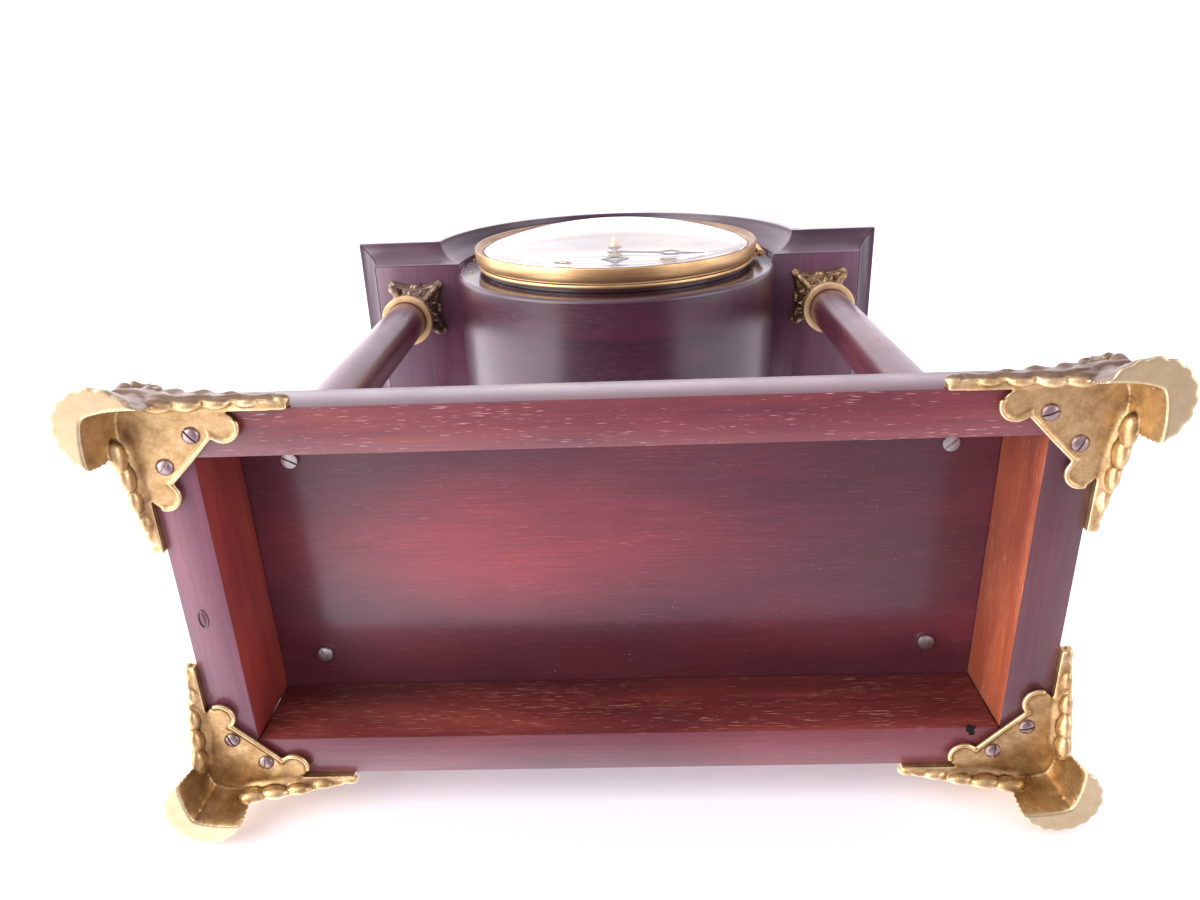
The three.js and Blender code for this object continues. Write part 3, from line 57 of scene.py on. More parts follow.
COLUMN_SPOTS = {
    "front_left": (-108.6, -38.6), "front_right": (108.6, -38.6),
    "rear_left": (-108.6, 38.6), "rear_right": (108.6, 38.6),
}
COLUMN_RADIUS = 9.9
COLUMN_BASE_LEVEL = 55.6
COLUMN_BASE_RADIUS, COLUMN_BASE_HEIGHT = 14, 16
SHAFT_BOTTOM, SHAFT_TOP = 71.9, 225.5
CAPITAL_LEVEL, CAPITAL_HEIGHT = 225.8, 30.8
COLLAR_RADIUS = 12.9
ABACUS_HEIGHT = 4.2

HEAD_LEVEL = 256.9
HEAD_HALF_DEPTH = 61.2
SOFFIT_HALF = 130.2
CORNICE_HEIGHT = 18.5
DRUM_RADIUS = 84
ARCH_INNER = 84.3
ARCH_OUTER = ARCH_INNER + CORNICE_HEIGHT
DRUM_FRONT, DRUM_REAR = -59, 56

RING_FRONT = -63.4
BEZEL_REAR, BEZEL_FRONT = -63.7, -71.5
BEZEL_HINGE = (76, BEZEL_REAR)
DIAL_FRONT = -63.2
WINDING_SPOTS = ((-27, -20), (27, -20))


# ---- Shapes: (points, faces) pairs ----

def join(*shapes):
    points, faces = [], []
    for some_points, some_faces in shapes:
        start = len(points)
        points += some_points
        faces += [[start + i for i in face] for face in some_faces]
    return points, faces


def moved(shape, place):
    return [place(*p) for p in shape[0]], shape[1]


def loft(rows, wrap=False):
    """Skin over rings of points. wrap joins the last ring to the first; otherwise both ends are capped."""
    count = len(rows[0])
    points = [p for row in rows for p in row]
    faces = []
    for i in range(len(rows) if wrap else len(rows) - 1):
        a, b = i * count, (i + 1) % len(rows) * count
        faces += [[a + j, a + (j + 1) % count, b + (j + 1) % count, b + j] for j in range(count)]
    if not wrap:
        faces += [list(range(count))[::-1], [len(points) - count + j for j in range(count)]]
    return points, faces


def turned(profile, segments, centre=(0, 0)):
    """A closed profile of (radius, height) points turned round Z at (x, y)."""
    rows = []
    for i in range(segments):
        c, s = cos(tau * i / segments), sin(tau * i / segments)
        rows.append([(centre[0] + r * c, centre[1] + r * s, h) for r, h in profile])
    return loft(rows, wrap=True)


def faced(profile, segments, centre=(0, HEAD_LEVEL)):
    """A closed profile of (radius, y) points turned round the dial's axis, or round Y at (x, z)."""
    return moved(turned(profile, segments, centre), lambda x, z, y: (x, y, z))


def hull(points):
    mesh = bmesh.new()
    for p in points:
        mesh.verts.new(p)
    made = bmesh.ops.convex_hull(mesh, input=mesh.verts)
    inner = [v for v in made["geom_interior"] if isinstance(v, bmesh.types.BMVert)]
    bmesh.ops.delete(mesh, geom=inner, context="VERTS")
    mesh.verts.index_update()
    shape = [tuple(v.co) for v in mesh.verts], [[v.index for v in f.verts] for f in mesh.faces]
    mesh.free()
    return shape


def sheet(front, back):
    """A closed leaf between two grids of points."""
    rows, count = len(front), len(front[0])
    points = [p for row in front for p in row] + [p for row in back for p in row]
    half = rows * count
    faces = []
    for i in range(rows - 1):
        for j in range(count - 1):
            a, b, c, d = i * count + j, i * count + j + 1, (i + 1) * count + j + 1, (i + 1) * count + j
            faces += [[a, b, c, d], [half + d, half + c, half + b, half + a]]
    rim = list(range(count)) + [i * count + count - 1 for i in range(1, rows)]
    rim += [(rows - 1) * count + j for j in range(count - 2, -1, -1)]
    rim += [i * count for i in range(rows - 2, 0, -1)]
    for a, b in zip(rim, rim[1:] + rim[:1]):
        faces.append([b, a, half + a, half + b])
    return points, faces


def linked(name, data):
    made = bpy.data.objects.new(name, data)
    bpy.context.scene.collection.objects.link(made)
    return made


def cutout(outlines, depth, rounding=0.0):
    """Flat outlines in X and Y, inner ones being holes, made into a plate from 0 to depth along Z."""
    curve = bpy.data.curves.new("cutout", "CURVE")
    curve.dimensions, curve.fill_mode = "2D", "BOTH"
    curve.extrude = depth / 2 - rounding
    curve.bevel_depth, curve.bevel_resolution, curve.offset = rounding, 1, -rounding
    for outline in outlines:
        spline = curve.splines.new("POLY")
        spline.points.add(len(outline) - 1)
        for point, (x, y) in zip(spline.points, outline):
            point.co = (x, y, 0, 1)
        spline.use_cyclic_u = True
    holder = linked("cutout", curve)
    bpy.context.view_layer.update()
    mesh = holder.to_mesh()
    points = [(v.co.x, v.co.y, v.co.z + depth / 2) for v in mesh.vertices]
    faces = [list(f.vertices) for f in mesh.polygons]
    holder.to_mesh_clear()
    bpy.data.objects.remove(holder)
    bpy.data.curves.remove(curve)
    return points, faces


def ball(centre, radii, rows=10, sides=16):
    rings = []
    for i in range(rows + 1):
        lift = pi * (i / rows - 0.5) * 0.998
        rings.append([
            (centre[0] + radii[0] * cos(lift) * cos(tau * j / sides),
             centre[1] + radii[1] * cos(lift) * sin(tau * j / sides),
             centre[2] + radii[2] * sin(lift))
            for j in range(sides)
        ])
    return loft(rings)


def tube(path, radius, sides=12):
    """A round bar along a path. radius is a number or a function of the share of the way."""
    rows = []
    for i, p in enumerate(path):
        ahead = Vector(path[min(i + 1, len(path) - 1)]) - Vector(path[max(i - 1, 0)])
        ahead.normalize()
        side = ahead.cross(Vector((0, 0, 1)) if abs(ahead.z) < 0.9 else Vector((0, 1, 0))).normalized()
        up = side.cross(ahead)
        r = radius(i / (len(path) - 1)) if callable(radius) else radius
        angles = [tau * j / sides for j in range(sides)]
        rows.append([tuple(Vector(p) + r * (cos(a) * side + sin(a) * up)) for a in angles])
    return loft(rows)


def circle(radius, count, centre=(0, 0)):
    angles = [tau * i / count for i in range(count)]
    return [(centre[0] + radius * cos(a), centre[1] + radius * sin(a)) for a in angles]


def arc(centre, radii, start, end, steps):
    """Points on an ellipse from one angle to another, in degrees."""
    angles = [radians(start + (end - start) * i / steps) for i in range(steps + 1)]
    return [(centre[0] + radii[0] * cos(a), centre[1] + radii[1] * sin(a)) for a in angles]


def clockwise(points, angle):
    c, s = cos(angle), sin(angle)
    return [(x * c + y * s, -x * s + y * c) for x, y in points]


def smoothstep(low, high, value):
    t = min(1.0, max(0.0, (value - low) / (high - low)))
    return t * t * (3 - 2 * t)


# ---- Meshes and pieces ----

def mesh_from(name, shape, soften=0.0, sharp=40, grain=None, paint=None):
    """A clean mesh of the shape. soften rounds its sharp edges, in degrees given by sharp.

    grain(x, y, z) gives wood its own coordinates, and paint(centre, normal) gives a face's material number.
    """
    data = bmesh.new()
    verts = [data.verts.new(p) for p in shape[0]]
    for face in shape[1]:
        data.faces.new([verts[i] for i in face])
    bmesh.ops.remove_doubles(data, verts=data.verts, dist=0.002)
    bmesh.ops.recalc_face_normals(data, faces=data.faces)
    if soften:
        edges = [e for e in data.edges if len(e.link_faces) == 2 and e.calc_face_angle(0) > radians(sharp)]
        bmesh.ops.bevel(
            data, geom=edges, offset=soften, segments=2, profile=0.5, affect="EDGES", clamp_overlap=True,
        )
    if paint:
        for face in data.faces:
            face.material_index = paint(face.calc_center_median(), face.normal)
    layer = data.verts.layers.float_vector.new("grain")
    for vert in data.verts:
        vert[layer] = Vector(grain(*vert.co) if grain else vert.co) * MM
        vert.co *= MM
    mesh = bpy.data.meshes.new(name)
    data.to_mesh(mesh)
    data.free()
    mesh.shade_smooth()
    mesh.set_sharp_from_angle(angle=radians(sharp))
    return mesh


def cast(name, shape, voxel):
    """Overlapping solids run together into one smooth casting."""
    rough = linked(name + "_rough", mesh_from(name + "_rough", shape))
    remesh = rough.modifiers.new("remesh", "REMESH")
    remesh.mode, remesh.voxel_size, remesh.use_smooth_shade = "VOXEL", voxel * MM, True
    relax = rough.modifiers.new("relax", "SMOOTH")
    relax.factor, relax.iterations = 0.5, 2
    bpy.context.view_layer.update()
    mesh = bpy.data.meshes.new_from_object(rough.evaluated_get(bpy.context.evaluated_depsgraph_get()))
    mesh.name = name
    rough_mesh = rough.data
    bpy.data.objects.remove(rough)
    bpy.data.meshes.remove(rough_mesh)
    return mesh


def piece(name, mesh, looks, stands_for=None, body="case", place=None):
    """A visible piece. looks is its material or a tuple of them, stands_for the node that it replaces."""
    if not mesh.materials:
        for material in looks if isinstance(looks, tuple) else (looks,):
            mesh.materials.append(material)
    made = linked(name, mesh)
    if place is not None:
        made.matrix_world = place
        bpy.context.view_layer.update()
    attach(made, body)
    if stands_for:
        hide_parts(stands_for)


def stand_in(name, node_name, shape, looks, slot, body="case", place=None, **finish):
    """A piece made straight from the shape that replaces one node."""
    piece(name, mesh_from(node_name, shape, **finish), looks, node_name, body, place)


def add_on(name, shape, looks):
    """A small piece of the case that replaces no node."""
    piece(name, mesh_from(name, shape), looks)


def at(x, y, z, turn=0.0):
    return Matrix.Translation(Vector((x, y, z)) * MM) @ Matrix.Rotation(turn, 4, "Z")


# ---- Materials ----

def feed(tree, socket, value):
    """Link another node's socket, or set a plain value."""
    if isinstance(value, bpy.types.NodeSocket):
        tree.links.new(value, socket)
    else:
        socket.default_value = value


def node(tree, kind, settings=None, **inputs):
    """A shader node. Its inputs go by name, with _ for a space, or by number as i0, i1 and so on."""
    made = tree.nodes.new("ShaderNode" + kind)
    for key, value in (settings or {}).items():
        setattr(made, key, value)
    for key, value in inputs.items():
        number = key[1:] if key[0] == "i" else ""
        feed(tree, made.inputs[int(number) if number.isdigit() else key.replace("_", " ")], value)
    return made


def noise(tree, vector, scale, detail=2, roughness=0.5, distortion=0.0):
    """Noise with one scale, or with one for each axis."""
    scales = scale if isinstance(scale, tuple) else (scale, scale, scale)
    stretched = node(tree, "Mapping", Vector=vector, Scale=scales).outputs[0]
    made = node(tree, "TexNoise", Vector=stretched, Scale=1.0, Detail=detail, Roughness=roughness)
    made.inputs["Distortion"].default_value = distortion
    return made.outputs["Fac"]


def ramp(tree, value, *stops):
    made = node(tree, "ValToRGB", i0=value)
    elements = made.color_ramp.elements
    while len(elements) < len(stops):
        elements.new(0.5)
    for element, (place, colour) in zip(elements, stops):
        element.position = place
        element.color = (*colour, 1) if isinstance(colour, tuple) else (colour, colour, colour, 1)
    return made.outputs[0]


def blend(tree, share, a, b, mode="MIX"):
    made = node(tree, "Mix", {"data_type": "RGBA", "blend_type": mode})
    for index, value in ((0, share), (6, a), (7, b)):
        feed(tree, made.inputs[index], (*value, 1) if isinstance(value, tuple) else value)
    return made.outputs[2]


def maths(tree, operation, *values, kind="Math", out=0):
    made = node(tree, kind, {"operation": operation})
    for socket, value in zip(made.inputs, values):
        feed(tree, socket, value)
    return made.outputs[out]


def towards(tree, vector, axis):
    """How far the vector points along the axis."""
    return maths(tree, "DOT_PRODUCT", vector, axis, kind="VectorMath", out="Value")


def spread(tree, value, low, high):
    """Noise from its middle range spread between two values."""
    return node(tree, "MapRange", Value=value, From_Min=0.3, From_Max=0.7, To_Min=low, To_Max=high).outputs[0]


def relief_of(tree, height, depth, strength=0.3):
    return node(tree, "Bump", Strength=strength, Distance=depth, Height=height).outputs[0]


def start(name):
    material = bpy.data.materials.new(name)
    material.use_nodes = True
    tree = material.node_tree
    tree.nodes.clear()
    shader = tree.nodes.new("ShaderNodeBsdfPrincipled")
    tree.links.new(shader.outputs[0], tree.nodes.new("ShaderNodeOutputMaterial").inputs["Surface"])
    return material, tree, shader


def start_in_place(name):
    """A material whose noise follows the object's own coordinates."""
    material, tree, shader = start(name)
    return material, tree, shader, node(tree, "TexCoord").outputs["Object"]


def finish_shader(tree, shader, **inputs):
    for key, value in inputs.items():
        feed(tree, shader.inputs[key.replace("_", " ")], value)


def painted_patch(tree, colour, grain, bands, blotch):
    """A soft patch at (x, y) with its reach in x and y, in metres, and the factor for its colour: above 1 it
    paints light, below 1 it paints shade.
    """
    x, y, reach_x, reach_y, factor = blotch
    shift = maths(tree, "SUBTRACT", grain, (x, y, 0.0), kind="VectorMath")
    flat = maths(tree, "MULTIPLY", shift, (1 / reach_x, 1 / reach_y, 0.0), kind="VectorMath")
    distance = maths(tree, "LENGTH", flat, kind="VectorMath", out="Value")
    away = maths(tree, "MULTIPLY_ADD", bands, 0.9, distance)
    share = node(
        tree, "MapRange", {"interpolation_type": "SMOOTHSTEP"}, Value=away, From_Min=0.75, From_Max=1.75,
        To_Min=1.0, To_Max=0.0,
    ).outputs[0]
    return blend(tree, share, colour, maths(tree, "MULTIPLY", colour, factor, kind="VectorMath"))


def wood(
    name, dark, mid, light, rough, coat, pores=0.35, pore_colour=(0.03, 0.008, 0.008), figure=1.0, sheen=0.0,
    fine=0.79, light_patches=(), dust=0.0, varnish=0.16,
):
    """Stained and polished mahogany. The grain runs along the first of the mesh's grain coordinates."""
    material, tree, shader = start(name)
    grain = node(tree, "Attribute", {"attribute_name": "grain"}).outputs["Vector"]
    bands = noise(tree, grain, (5, 70 * figure, 70 * figure), 4, 0.6, 0.6)
    cloud = noise(tree, grain, (14, 34, 34))
    mottle = maths(tree, "MULTIPLY_ADD", cloud, 0.5, maths(tree, "MULTIPLY", bands, 0.6))
    colour = ramp(tree, mottle, (0.38, dark), (0.54, mid), (0.72, light))
    fibre = noise(tree, grain, (35, 1500, 1500), 3, 0.6)
    colour = blend(tree, 0.55, colour, ramp(tree, fibre, (0.3, 0.35), (0.7, 0.95)), "MULTIPLY")
    dash = noise(tree, grain, (170, 4200, 4200), 1, 0.4)
    patch = noise(tree, grain, (22, 110, 110))
    pore = ramp(tree, maths(tree, "MULTIPLY_ADD", patch, 0.3, dash), (fine, 0.0), (fine + 0.05, 1.0))
    colour = blend(tree, maths(tree, "MULTIPLY", pore, pores), colour, pore_colour)
    # Patches of painted light and shade.
    for blotch in light_patches:
        colour = painted_patch(tree, colour, grain, bands, blotch)
    if dust:
        lint = ramp(tree, noise(tree, grain, (900, 1100, 900), 2, 0.5, 1.5), (0.74, 0.0), (0.8, 1.0))
        scratch = ramp(tree, noise(tree, grain, (260, 1500, 260), 1, 0.4, 3.5), (0.77, 0.0), (0.8, 1.0))
        marks = maths(tree, "MULTIPLY", maths(tree, "MAXIMUM", lint, scratch), dust)
        colour = blend(tree, marks, colour, (0.62, 0.46, 0.5))
    gloss = spread(tree, noise(tree, grain, 45, 4, 0.6), *rough)
    height = maths(tree, "MULTIPLY_ADD", fibre, 0.25, maths(tree, "MULTIPLY", pore, -1.0))
    finish_shader(
        tree, shader, Base_Color=colour, Roughness=gloss, Normal=relief_of(tree, height, 0.00006),
        Coat_Weight=coat, Coat_Roughness=varnish, Sheen_Weight=sheen, Sheen_Roughness=0.4,
        Sheen_Tint=(0.9, 0.78, 0.88, 1),
    )
    return material


def gilt(name, deep, body, bright, rough, burnish, speckle, relief, front_shade=None):
    """Cast and gilded brass: brown in the hollows, worn bright on the ridges, and with a brown painted shade on
    the faces that look to the front and up when its colour is given.
    """
    material, tree, shader, place = start_in_place(name)
    geometry = node(tree, "NewGeometry")
    blotch = noise(tree, place, 160, 5, 0.65)
    worn = maths(tree, "SUBTRACT", blotch, 0.5)
    edge = maths(tree, "MULTIPLY_ADD", worn, 0.16, geometry.outputs["Pointiness"])
    colour = ramp(tree, edge, (0.44, deep), (0.495, body), (0.56, bright))
    # Painted shade: brown on the faces that look to the front and up.
    if front_shade:
        facing = towards(tree, geometry.outputs["Normal"], (0.0, -1.0, 0.35))
        colour = blend(tree, ramp(tree, facing, (0.1, 0.0), (0.6, 0.85)), colour, front_shade)
    speck = noise(tree, place, 900)
    colour = blend(tree, speckle, colour, ramp(tree, speck, (0.35, 0.55), (0.65, 1.0)), "MULTIPLY")
    gloss = ramp(tree, edge, (0.45, rough[1]), (0.55, rough[0]))
    grit = noise(tree, place, 1600, 3, 0.6)
    lump = noise(tree, place, 380, 3, 0.6)
    bump = relief_of(tree, maths(tree, "MULTIPLY_ADD", lump, 1.2, grit), 0.00018, relief)
    finish_shader(
        tree, shader, Base_Color=colour, Roughness=gloss, Normal=bump, Metallic=0.82,
        Coat_Weight=burnish * 0.2,
    )
    return material


def metal(name, dark, bright, rough, brushed, depth=0.00002, tarnish=0.5):
    """Turned or rolled metal with fine tool lines and a little tarnish."""
    material, tree, shader, place = start_in_place(name)
    lines = noise(tree, place, brushed, 4, 0.7)
    spots = noise(tree, place, 55, 4, 0.6)
    tone = maths(tree, "MULTIPLY_ADD", spots, tarnish, maths(tree, "MULTIPLY", lines, 1 - tarnish))
    finish_shader(
        tree, shader, Base_Color=ramp(tree, tone, (0.36, dark), (0.62, bright)),
        Roughness=spread(tree, spots, rough[1], rough[0]), Normal=relief_of(tree, lines, depth), Metallic=1.0,
    )
    return material


def enamel(name):
    material, tree, shader, place = start_in_place(name)
    tone = noise(tree, place, 18, 3, 0.5)
    bump = relief_of(tree, noise(tree, place, 90), 0.0001, 0.1)
    finish_shader(
        tree, shader, Base_Color=ramp(tree, tone, (0.3, (0.86, 0.85, 0.82)), (0.7, (0.93, 0.925, 0.91))),
        Roughness=0.22, Normal=bump, Coat_Weight=0.4, Coat_Roughness=0.08,
    )
    return material


def ink(name):
    material, tree, shader, place = start_in_place(name)
    tone = noise(tree, place, 700)
    colour = ramp(tree, tone, (0.3, (0.012, 0.011, 0.013)), (0.7, (0.03, 0.028, 0.03)))
    finish_shader(tree, shader, Base_Color=colour, Roughness=0.4)
    return material


def glass(name):
    material, tree, shader, place = start_in_place(name)
    wave = noise(tree, place, 25)
    finish_shader(
        tree, shader, Base_Color=ramp(tree, wave, (0.3, (0.97, 0.985, 0.98)), (0.7, (0.99, 0.995, 0.992))),
        Roughness=0.015, Normal=relief_of(tree, wave, 0.0002, 0.04), Transmission_Weight=1.0, IOR=1.46,
    )
    return material


POLISHED = wood(
    "polished_mahogany", (0.048, 0.01, 0.02), (0.092, 0.019, 0.033), (0.145, 0.033, 0.046), (0.26, 0.38), 0.45,
    varnish=0.22,
)
# The cornice's copy of the polished mahogany, darker and more violet, with a tinted sheen: its violet tone is
# painted reflection.
CORNICE_WOOD_AS_LIT = wood(
    "cornice_mahogany_as_lit", (0.028, 0.01, 0.022), (0.052, 0.017, 0.034), (0.085, 0.027, 0.05), (0.26, 0.4), 0.4,
    sheen=0.45, varnish=0.24,
)
DRUM_WOOD = wood(
    "drum_mahogany", (0.026, 0.006, 0.015), (0.05, 0.011, 0.025), (0.082, 0.017, 0.035), (0.28, 0.36), 0.7,
    pores=0.2, pore_colour=(0.12, 0.06, 0.07), varnish=0.27,
)
DRUM_FACE = wood(
    "drum_face", (0.024, 0.006, 0.012), (0.04, 0.01, 0.018), (0.064, 0.016, 0.026), (0.2, 0.28), 0.3,
    pores=0.15, varnish=0.1,
)
# Copies of one mahogany for the rails' undersides, each with the painted light and shade of its own side: the
# left underside lighter and mauve, the right underside dark.
FRONT_UNDERSIDE_AS_LIT = wood(
    "front_underside_as_lit", (0.1, 0.013, 0.02), (0.165, 0.023, 0.03), (0.24, 0.046, 0.042), (0.3, 0.44), 0.5,
    pores=0.6, pore_colour=(0.6, 0.4, 0.38), sheen=0.15, fine=0.84,
)
LEFT_UNDERSIDE_AS_LIT = wood(
    "left_underside_as_lit", (0.125, 0.033, 0.055), (0.18, 0.048, 0.078), (0.26, 0.066, 0.1), (0.34, 0.46), 0.45,
    pores=0.15, pore_colour=(0.4, 0.25, 0.28), figure=0.7, sheen=0.2, fine=0.86,
)
RIGHT_UNDERSIDE_AS_LIT = wood(
    "right_underside_as_lit", (0.05, 0.012, 0.018), (0.075, 0.018, 0.026), (0.11, 0.026, 0.036), (0.34, 0.46), 0.45,
    pores=0.15, pore_colour=(0.3, 0.18, 0.2), figure=0.7, sheen=0.15, fine=0.86,
)
REAR_UNDERSIDE_AS_LIT = wood(
    "rear_underside_as_lit", (0.094, 0.016, 0.025), (0.136, 0.023, 0.034), (0.187, 0.035, 0.044), (0.32, 0.46), 0.45,
    pores=0.2, pore_colour=(0.4, 0.22, 0.23), figure=0.8, sheen=0.15, fine=0.85,
)
# Painted light and shade on the board's underside: a bright patch left of its middle, a dark band near its rear
# edge and a darker patch on its right.
BOARD_LIGHT_PATCHES = (
    (-0.04, -0.004, 0.075, 0.026, (2.2, 1.5, 1.3)), (0.02, 0.046, 0.14, 0.02, (0.55, 0.4, 0.45)),
    (0.1, -0.03, 0.05, 0.05, (0.7, 0.7, 0.75)),
)
BOARD_WOOD = wood(
    "board_mahogany", (0.08, 0.016, 0.026), (0.12, 0.02, 0.033), (0.17, 0.026, 0.04), (0.3, 0.45), 0.45,
    pores=0.35, pore_colour=(0.25, 0.1, 0.1), figure=0.35, sheen=0.2, fine=0.84, light_patches=BOARD_LIGHT_PATCHES, dust=0.32,
)
# Copies for the rails' inner faces, with painted light and shade: the right rail's inner face lighter than the
# left's, the front and rear ones darker.
INNER_LEFT_AS_LIT = wood(
    "inner_left_as_lit", (0.115, 0.014, 0.014), (0.24, 0.03, 0.026), (0.4, 0.065, 0.036), (0.36, 0.5), 0.2,
    pores=0.3, pore_colour=(0.4, 0.15, 0.1), figure=0.8, fine=0.84,
)
INNER_RIGHT_AS_LIT = wood(
    "inner_right_as_lit", (0.19, 0.037, 0.018), (0.34, 0.077, 0.033), (0.5, 0.14, 0.056), (0.34, 0.5), 0.2,
    pores=0.4, pore_colour=(0.75, 0.4, 0.25), figure=0.8, fine=0.82,
)
INNER_REAR_AS_LIT = wood(
    "inner_rear_as_lit", (0.082, 0.011, 0.013), (0.16, 0.025, 0.022), (0.28, 0.053, 0.036), (0.34, 0.5), 0.3,
    pores=0.5, pore_colour=(0.6, 0.3, 0.2), figure=0.9, fine=0.83,
)
INNER_WOOD = wood(
    "inner_mahogany", (0.13, 0.02, 0.014), (0.25, 0.05, 0.022), (0.38, 0.1, 0.035), (0.34, 0.5), 0.15,
    pores=0.4, pore_colour=(0.55, 0.28, 0.16),
)
SOFFIT_WOOD = wood(
    "soffit_mahogany", (0.062, 0.02, 0.04), (0.105, 0.034, 0.066), (0.148, 0.047, 0.088), (0.25, 0.38), 0.5,
    pores=0.2, pore_colour=(0.2, 0.1, 0.12), sheen=0.35, fine=0.84,
)
FOOT_GILT = gilt(
    "foot_gilt", (0.1, 0.045, 0.018), (0.4, 0.25, 0.1), (0.78, 0.58, 0.3), (0.22, 0.36), 0.5, 0.25, 0.3,
)
# The front feet's gilt, with brown painted shade on the faces that look to the front.
FRONT_FOOT_SHADED_GILT = gilt(
    "front_foot_shaded_gilt", (0.1, 0.05, 0.02), (0.5, 0.33, 0.14), (0.8, 0.6, 0.34), (0.26, 0.42), 0.5, 0.3, 0.35,
    front_shade=(0.13, 0.08, 0.06),
)
SOLE_GILT = gilt(
    "sole_gilt", (0.37, 0.28, 0.15), (0.47, 0.375, 0.21), (0.58, 0.48, 0.28), (0.22, 0.3), 1.0, 0.06, 0.08,
)
CAPITAL_GILT = gilt(
    "capital_gilt", (0.05, 0.025, 0.012), (0.2, 0.12, 0.06), (0.5, 0.35, 0.17), (0.28, 0.48), 0.5, 0.35, 0.45,
)
# A darker, dimmer copy of the capitals' gilt for the left side: painted shade.
LEFT_SHADED_GILT = gilt(
    "left_shaded_gilt", (0.07, 0.042, 0.032), (0.19, 0.125, 0.095), (0.4, 0.29, 0.2), (0.36, 0.52), 0.3, 0.35, 0.4,
)
COLLAR_BRASS = metal("collar_brass", (0.46, 0.31, 0.15), (0.7, 0.5, 0.27), (0.46, 0.6), (90, 90, 900))
BEZEL_BRASS = metal("bezel_brass", (0.5, 0.31, 0.14), (0.8, 0.56, 0.28), (0.34, 0.46), (60, 900, 60))
# A darker, lilac copy of the bezel's brass for the front faces of its rim: painted shade and reflection.
SHADED_RIM_BRASS = metal("shaded_rim_brass", (0.26, 0.16, 0.1), (0.44, 0.3, 0.2), (0.42, 0.56), (60, 900, 60))
PLATE_BRASS = metal("plate_brass", (0.5, 0.34, 0.13), (0.76, 0.57, 0.27), (0.24, 0.4), (700, 60, 60))
STEEL = metal("steel", (0.3, 0.28, 0.27), (0.58, 0.56, 0.54), (0.24, 0.42), (400, 60, 60), 0.00003)
SCREW_STEEL = metal(
    "screw_steel", (0.13, 0.08, 0.07), (0.42, 0.33, 0.32), (0.25, 0.42), (300, 300, 300), 0.00006, 0.8,
)
IRON = metal("iron", (0.03, 0.028, 0.026), (0.09, 0.085, 0.08), (0.45, 0.65), (400, 400, 400), 0.0001)
FILLER = metal("wood_filler", (0.008, 0.008, 0.008), (0.03, 0.028, 0.028), (0.6, 0.8), (400, 400, 400), 0.0001)
BLUED = metal("blued_steel", (0.012, 0.01, 0.016), (0.05, 0.04, 0.055), (0.2, 0.32), (60, 60, 500))
ENAMEL = enamel("dial_enamel")
INK = ink("dial_ink")
GLASS = glass("clear_glass")


# ---- Base ----

def rail_section():
    """Points (inwards, up) round a rail: a plain fascia with a cove above it."""
    cove = arc((0, FASCIA_HEIGHT + COVE_HEIGHT), (COVE_DEPTH, COVE_HEIGHT), -90, 0, 14)
    return [(0, 0)] + cove + [(COVE_DEPTH, RAIL_HEIGHT), (RAIL_THICKNESS, RAIL_HEIGHT), (RAIL_THICKNESS, 0)]


def rail_shape(length):
    """X runs along the rail, Y inwards from its outer face, Z up from its underside. The ends are mitred."""
    steps = 8
    shares = [i / steps - 0.5 for i in range(steps + 1)]
    section = rail_section()
    rows = [[(s * (length - 2 * out - 2 * GAP), out, height) for out, height in section] for s in shares]
    return loft(rows)


def paint_rail(centre, normal):
    if normal.z < -0.7:
        return 1
    return 2 if normal.y > 0.7 else 0


def paint_underside(centre, normal):
    return 1 if normal.z < -0.7 else 0


def make_base():
    half_x, half_y = BASE_WIDTH / 2, BASE_DEPTH / 2
    # Each rail's underside and inner face take the copy of the mahogany that carries the painted light and shade
    # of that side.
    rails = (
        ("front_rail", BASE_WIDTH, 0, (0, -half_y), 0, FRONT_UNDERSIDE_AS_LIT, INNER_REAR_AS_LIT),
        ("rear_rail", BASE_WIDTH, pi, (0, half_y), 11, REAR_UNDERSIDE_AS_LIT, INNER_REAR_AS_LIT),
        ("left_rail", BASE_DEPTH, -pi / 2, (-half_x, 0), 23, LEFT_UNDERSIDE_AS_LIT, INNER_LEFT_AS_LIT),
        ("right_rail", BASE_DEPTH, pi / 2, (half_x, 0), 37, RIGHT_UNDERSIDE_AS_LIT, INNER_RIGHT_AS_LIT),
    )
    for name, length, turn, (x, y), shift, below, inside in rails:
        stand_in(
            name + "_moulding", name, rail_shape(length), (POLISHED, below, inside), "mahogany",
            place=at(x, y, FOOT_HEIGHT, turn), soften=0.35, sharp=30, paint=paint_rail,
            grain=lambda a, b, c: (a + 90 * shift, b + 17 * shift, c + 5 * shift),
        )
    hx, hy = BOARD_HALF
    low, high = BOARD_LEVEL, BOARD_LEVEL + BOARD_THICKNESS
    nose = [(hx - 2.2, hy - 2.2, high), (hx, hy, high - 2.2), (hx, hy, low + 1), (hx - 1, hy - 1, low)]
    board = loft([[(-x, -y, z), (x, -y, z), (x, y, z), (-x, y, z)] for x, y, z in nose])
    stand_in(
        "base_board_top", "base_board", board, (POLISHED, BOARD_WOOD), "mahogany",
        soften=0.4, sharp=20, paint=paint_underside,
    )


PLUG_SPOT = (-134, 3.6)
CHIP_SPOT = (115.6, 53.3)
CHIP_LUMPS = ((0, 0, 1.0), (0.7, 1.5, 0.8), (-0.6, -1.2, 0.7), (0.9, -0.9, 0.6))
PIN_SPOTS = ((-79.5, 279.6), (-76.0, 245.0))


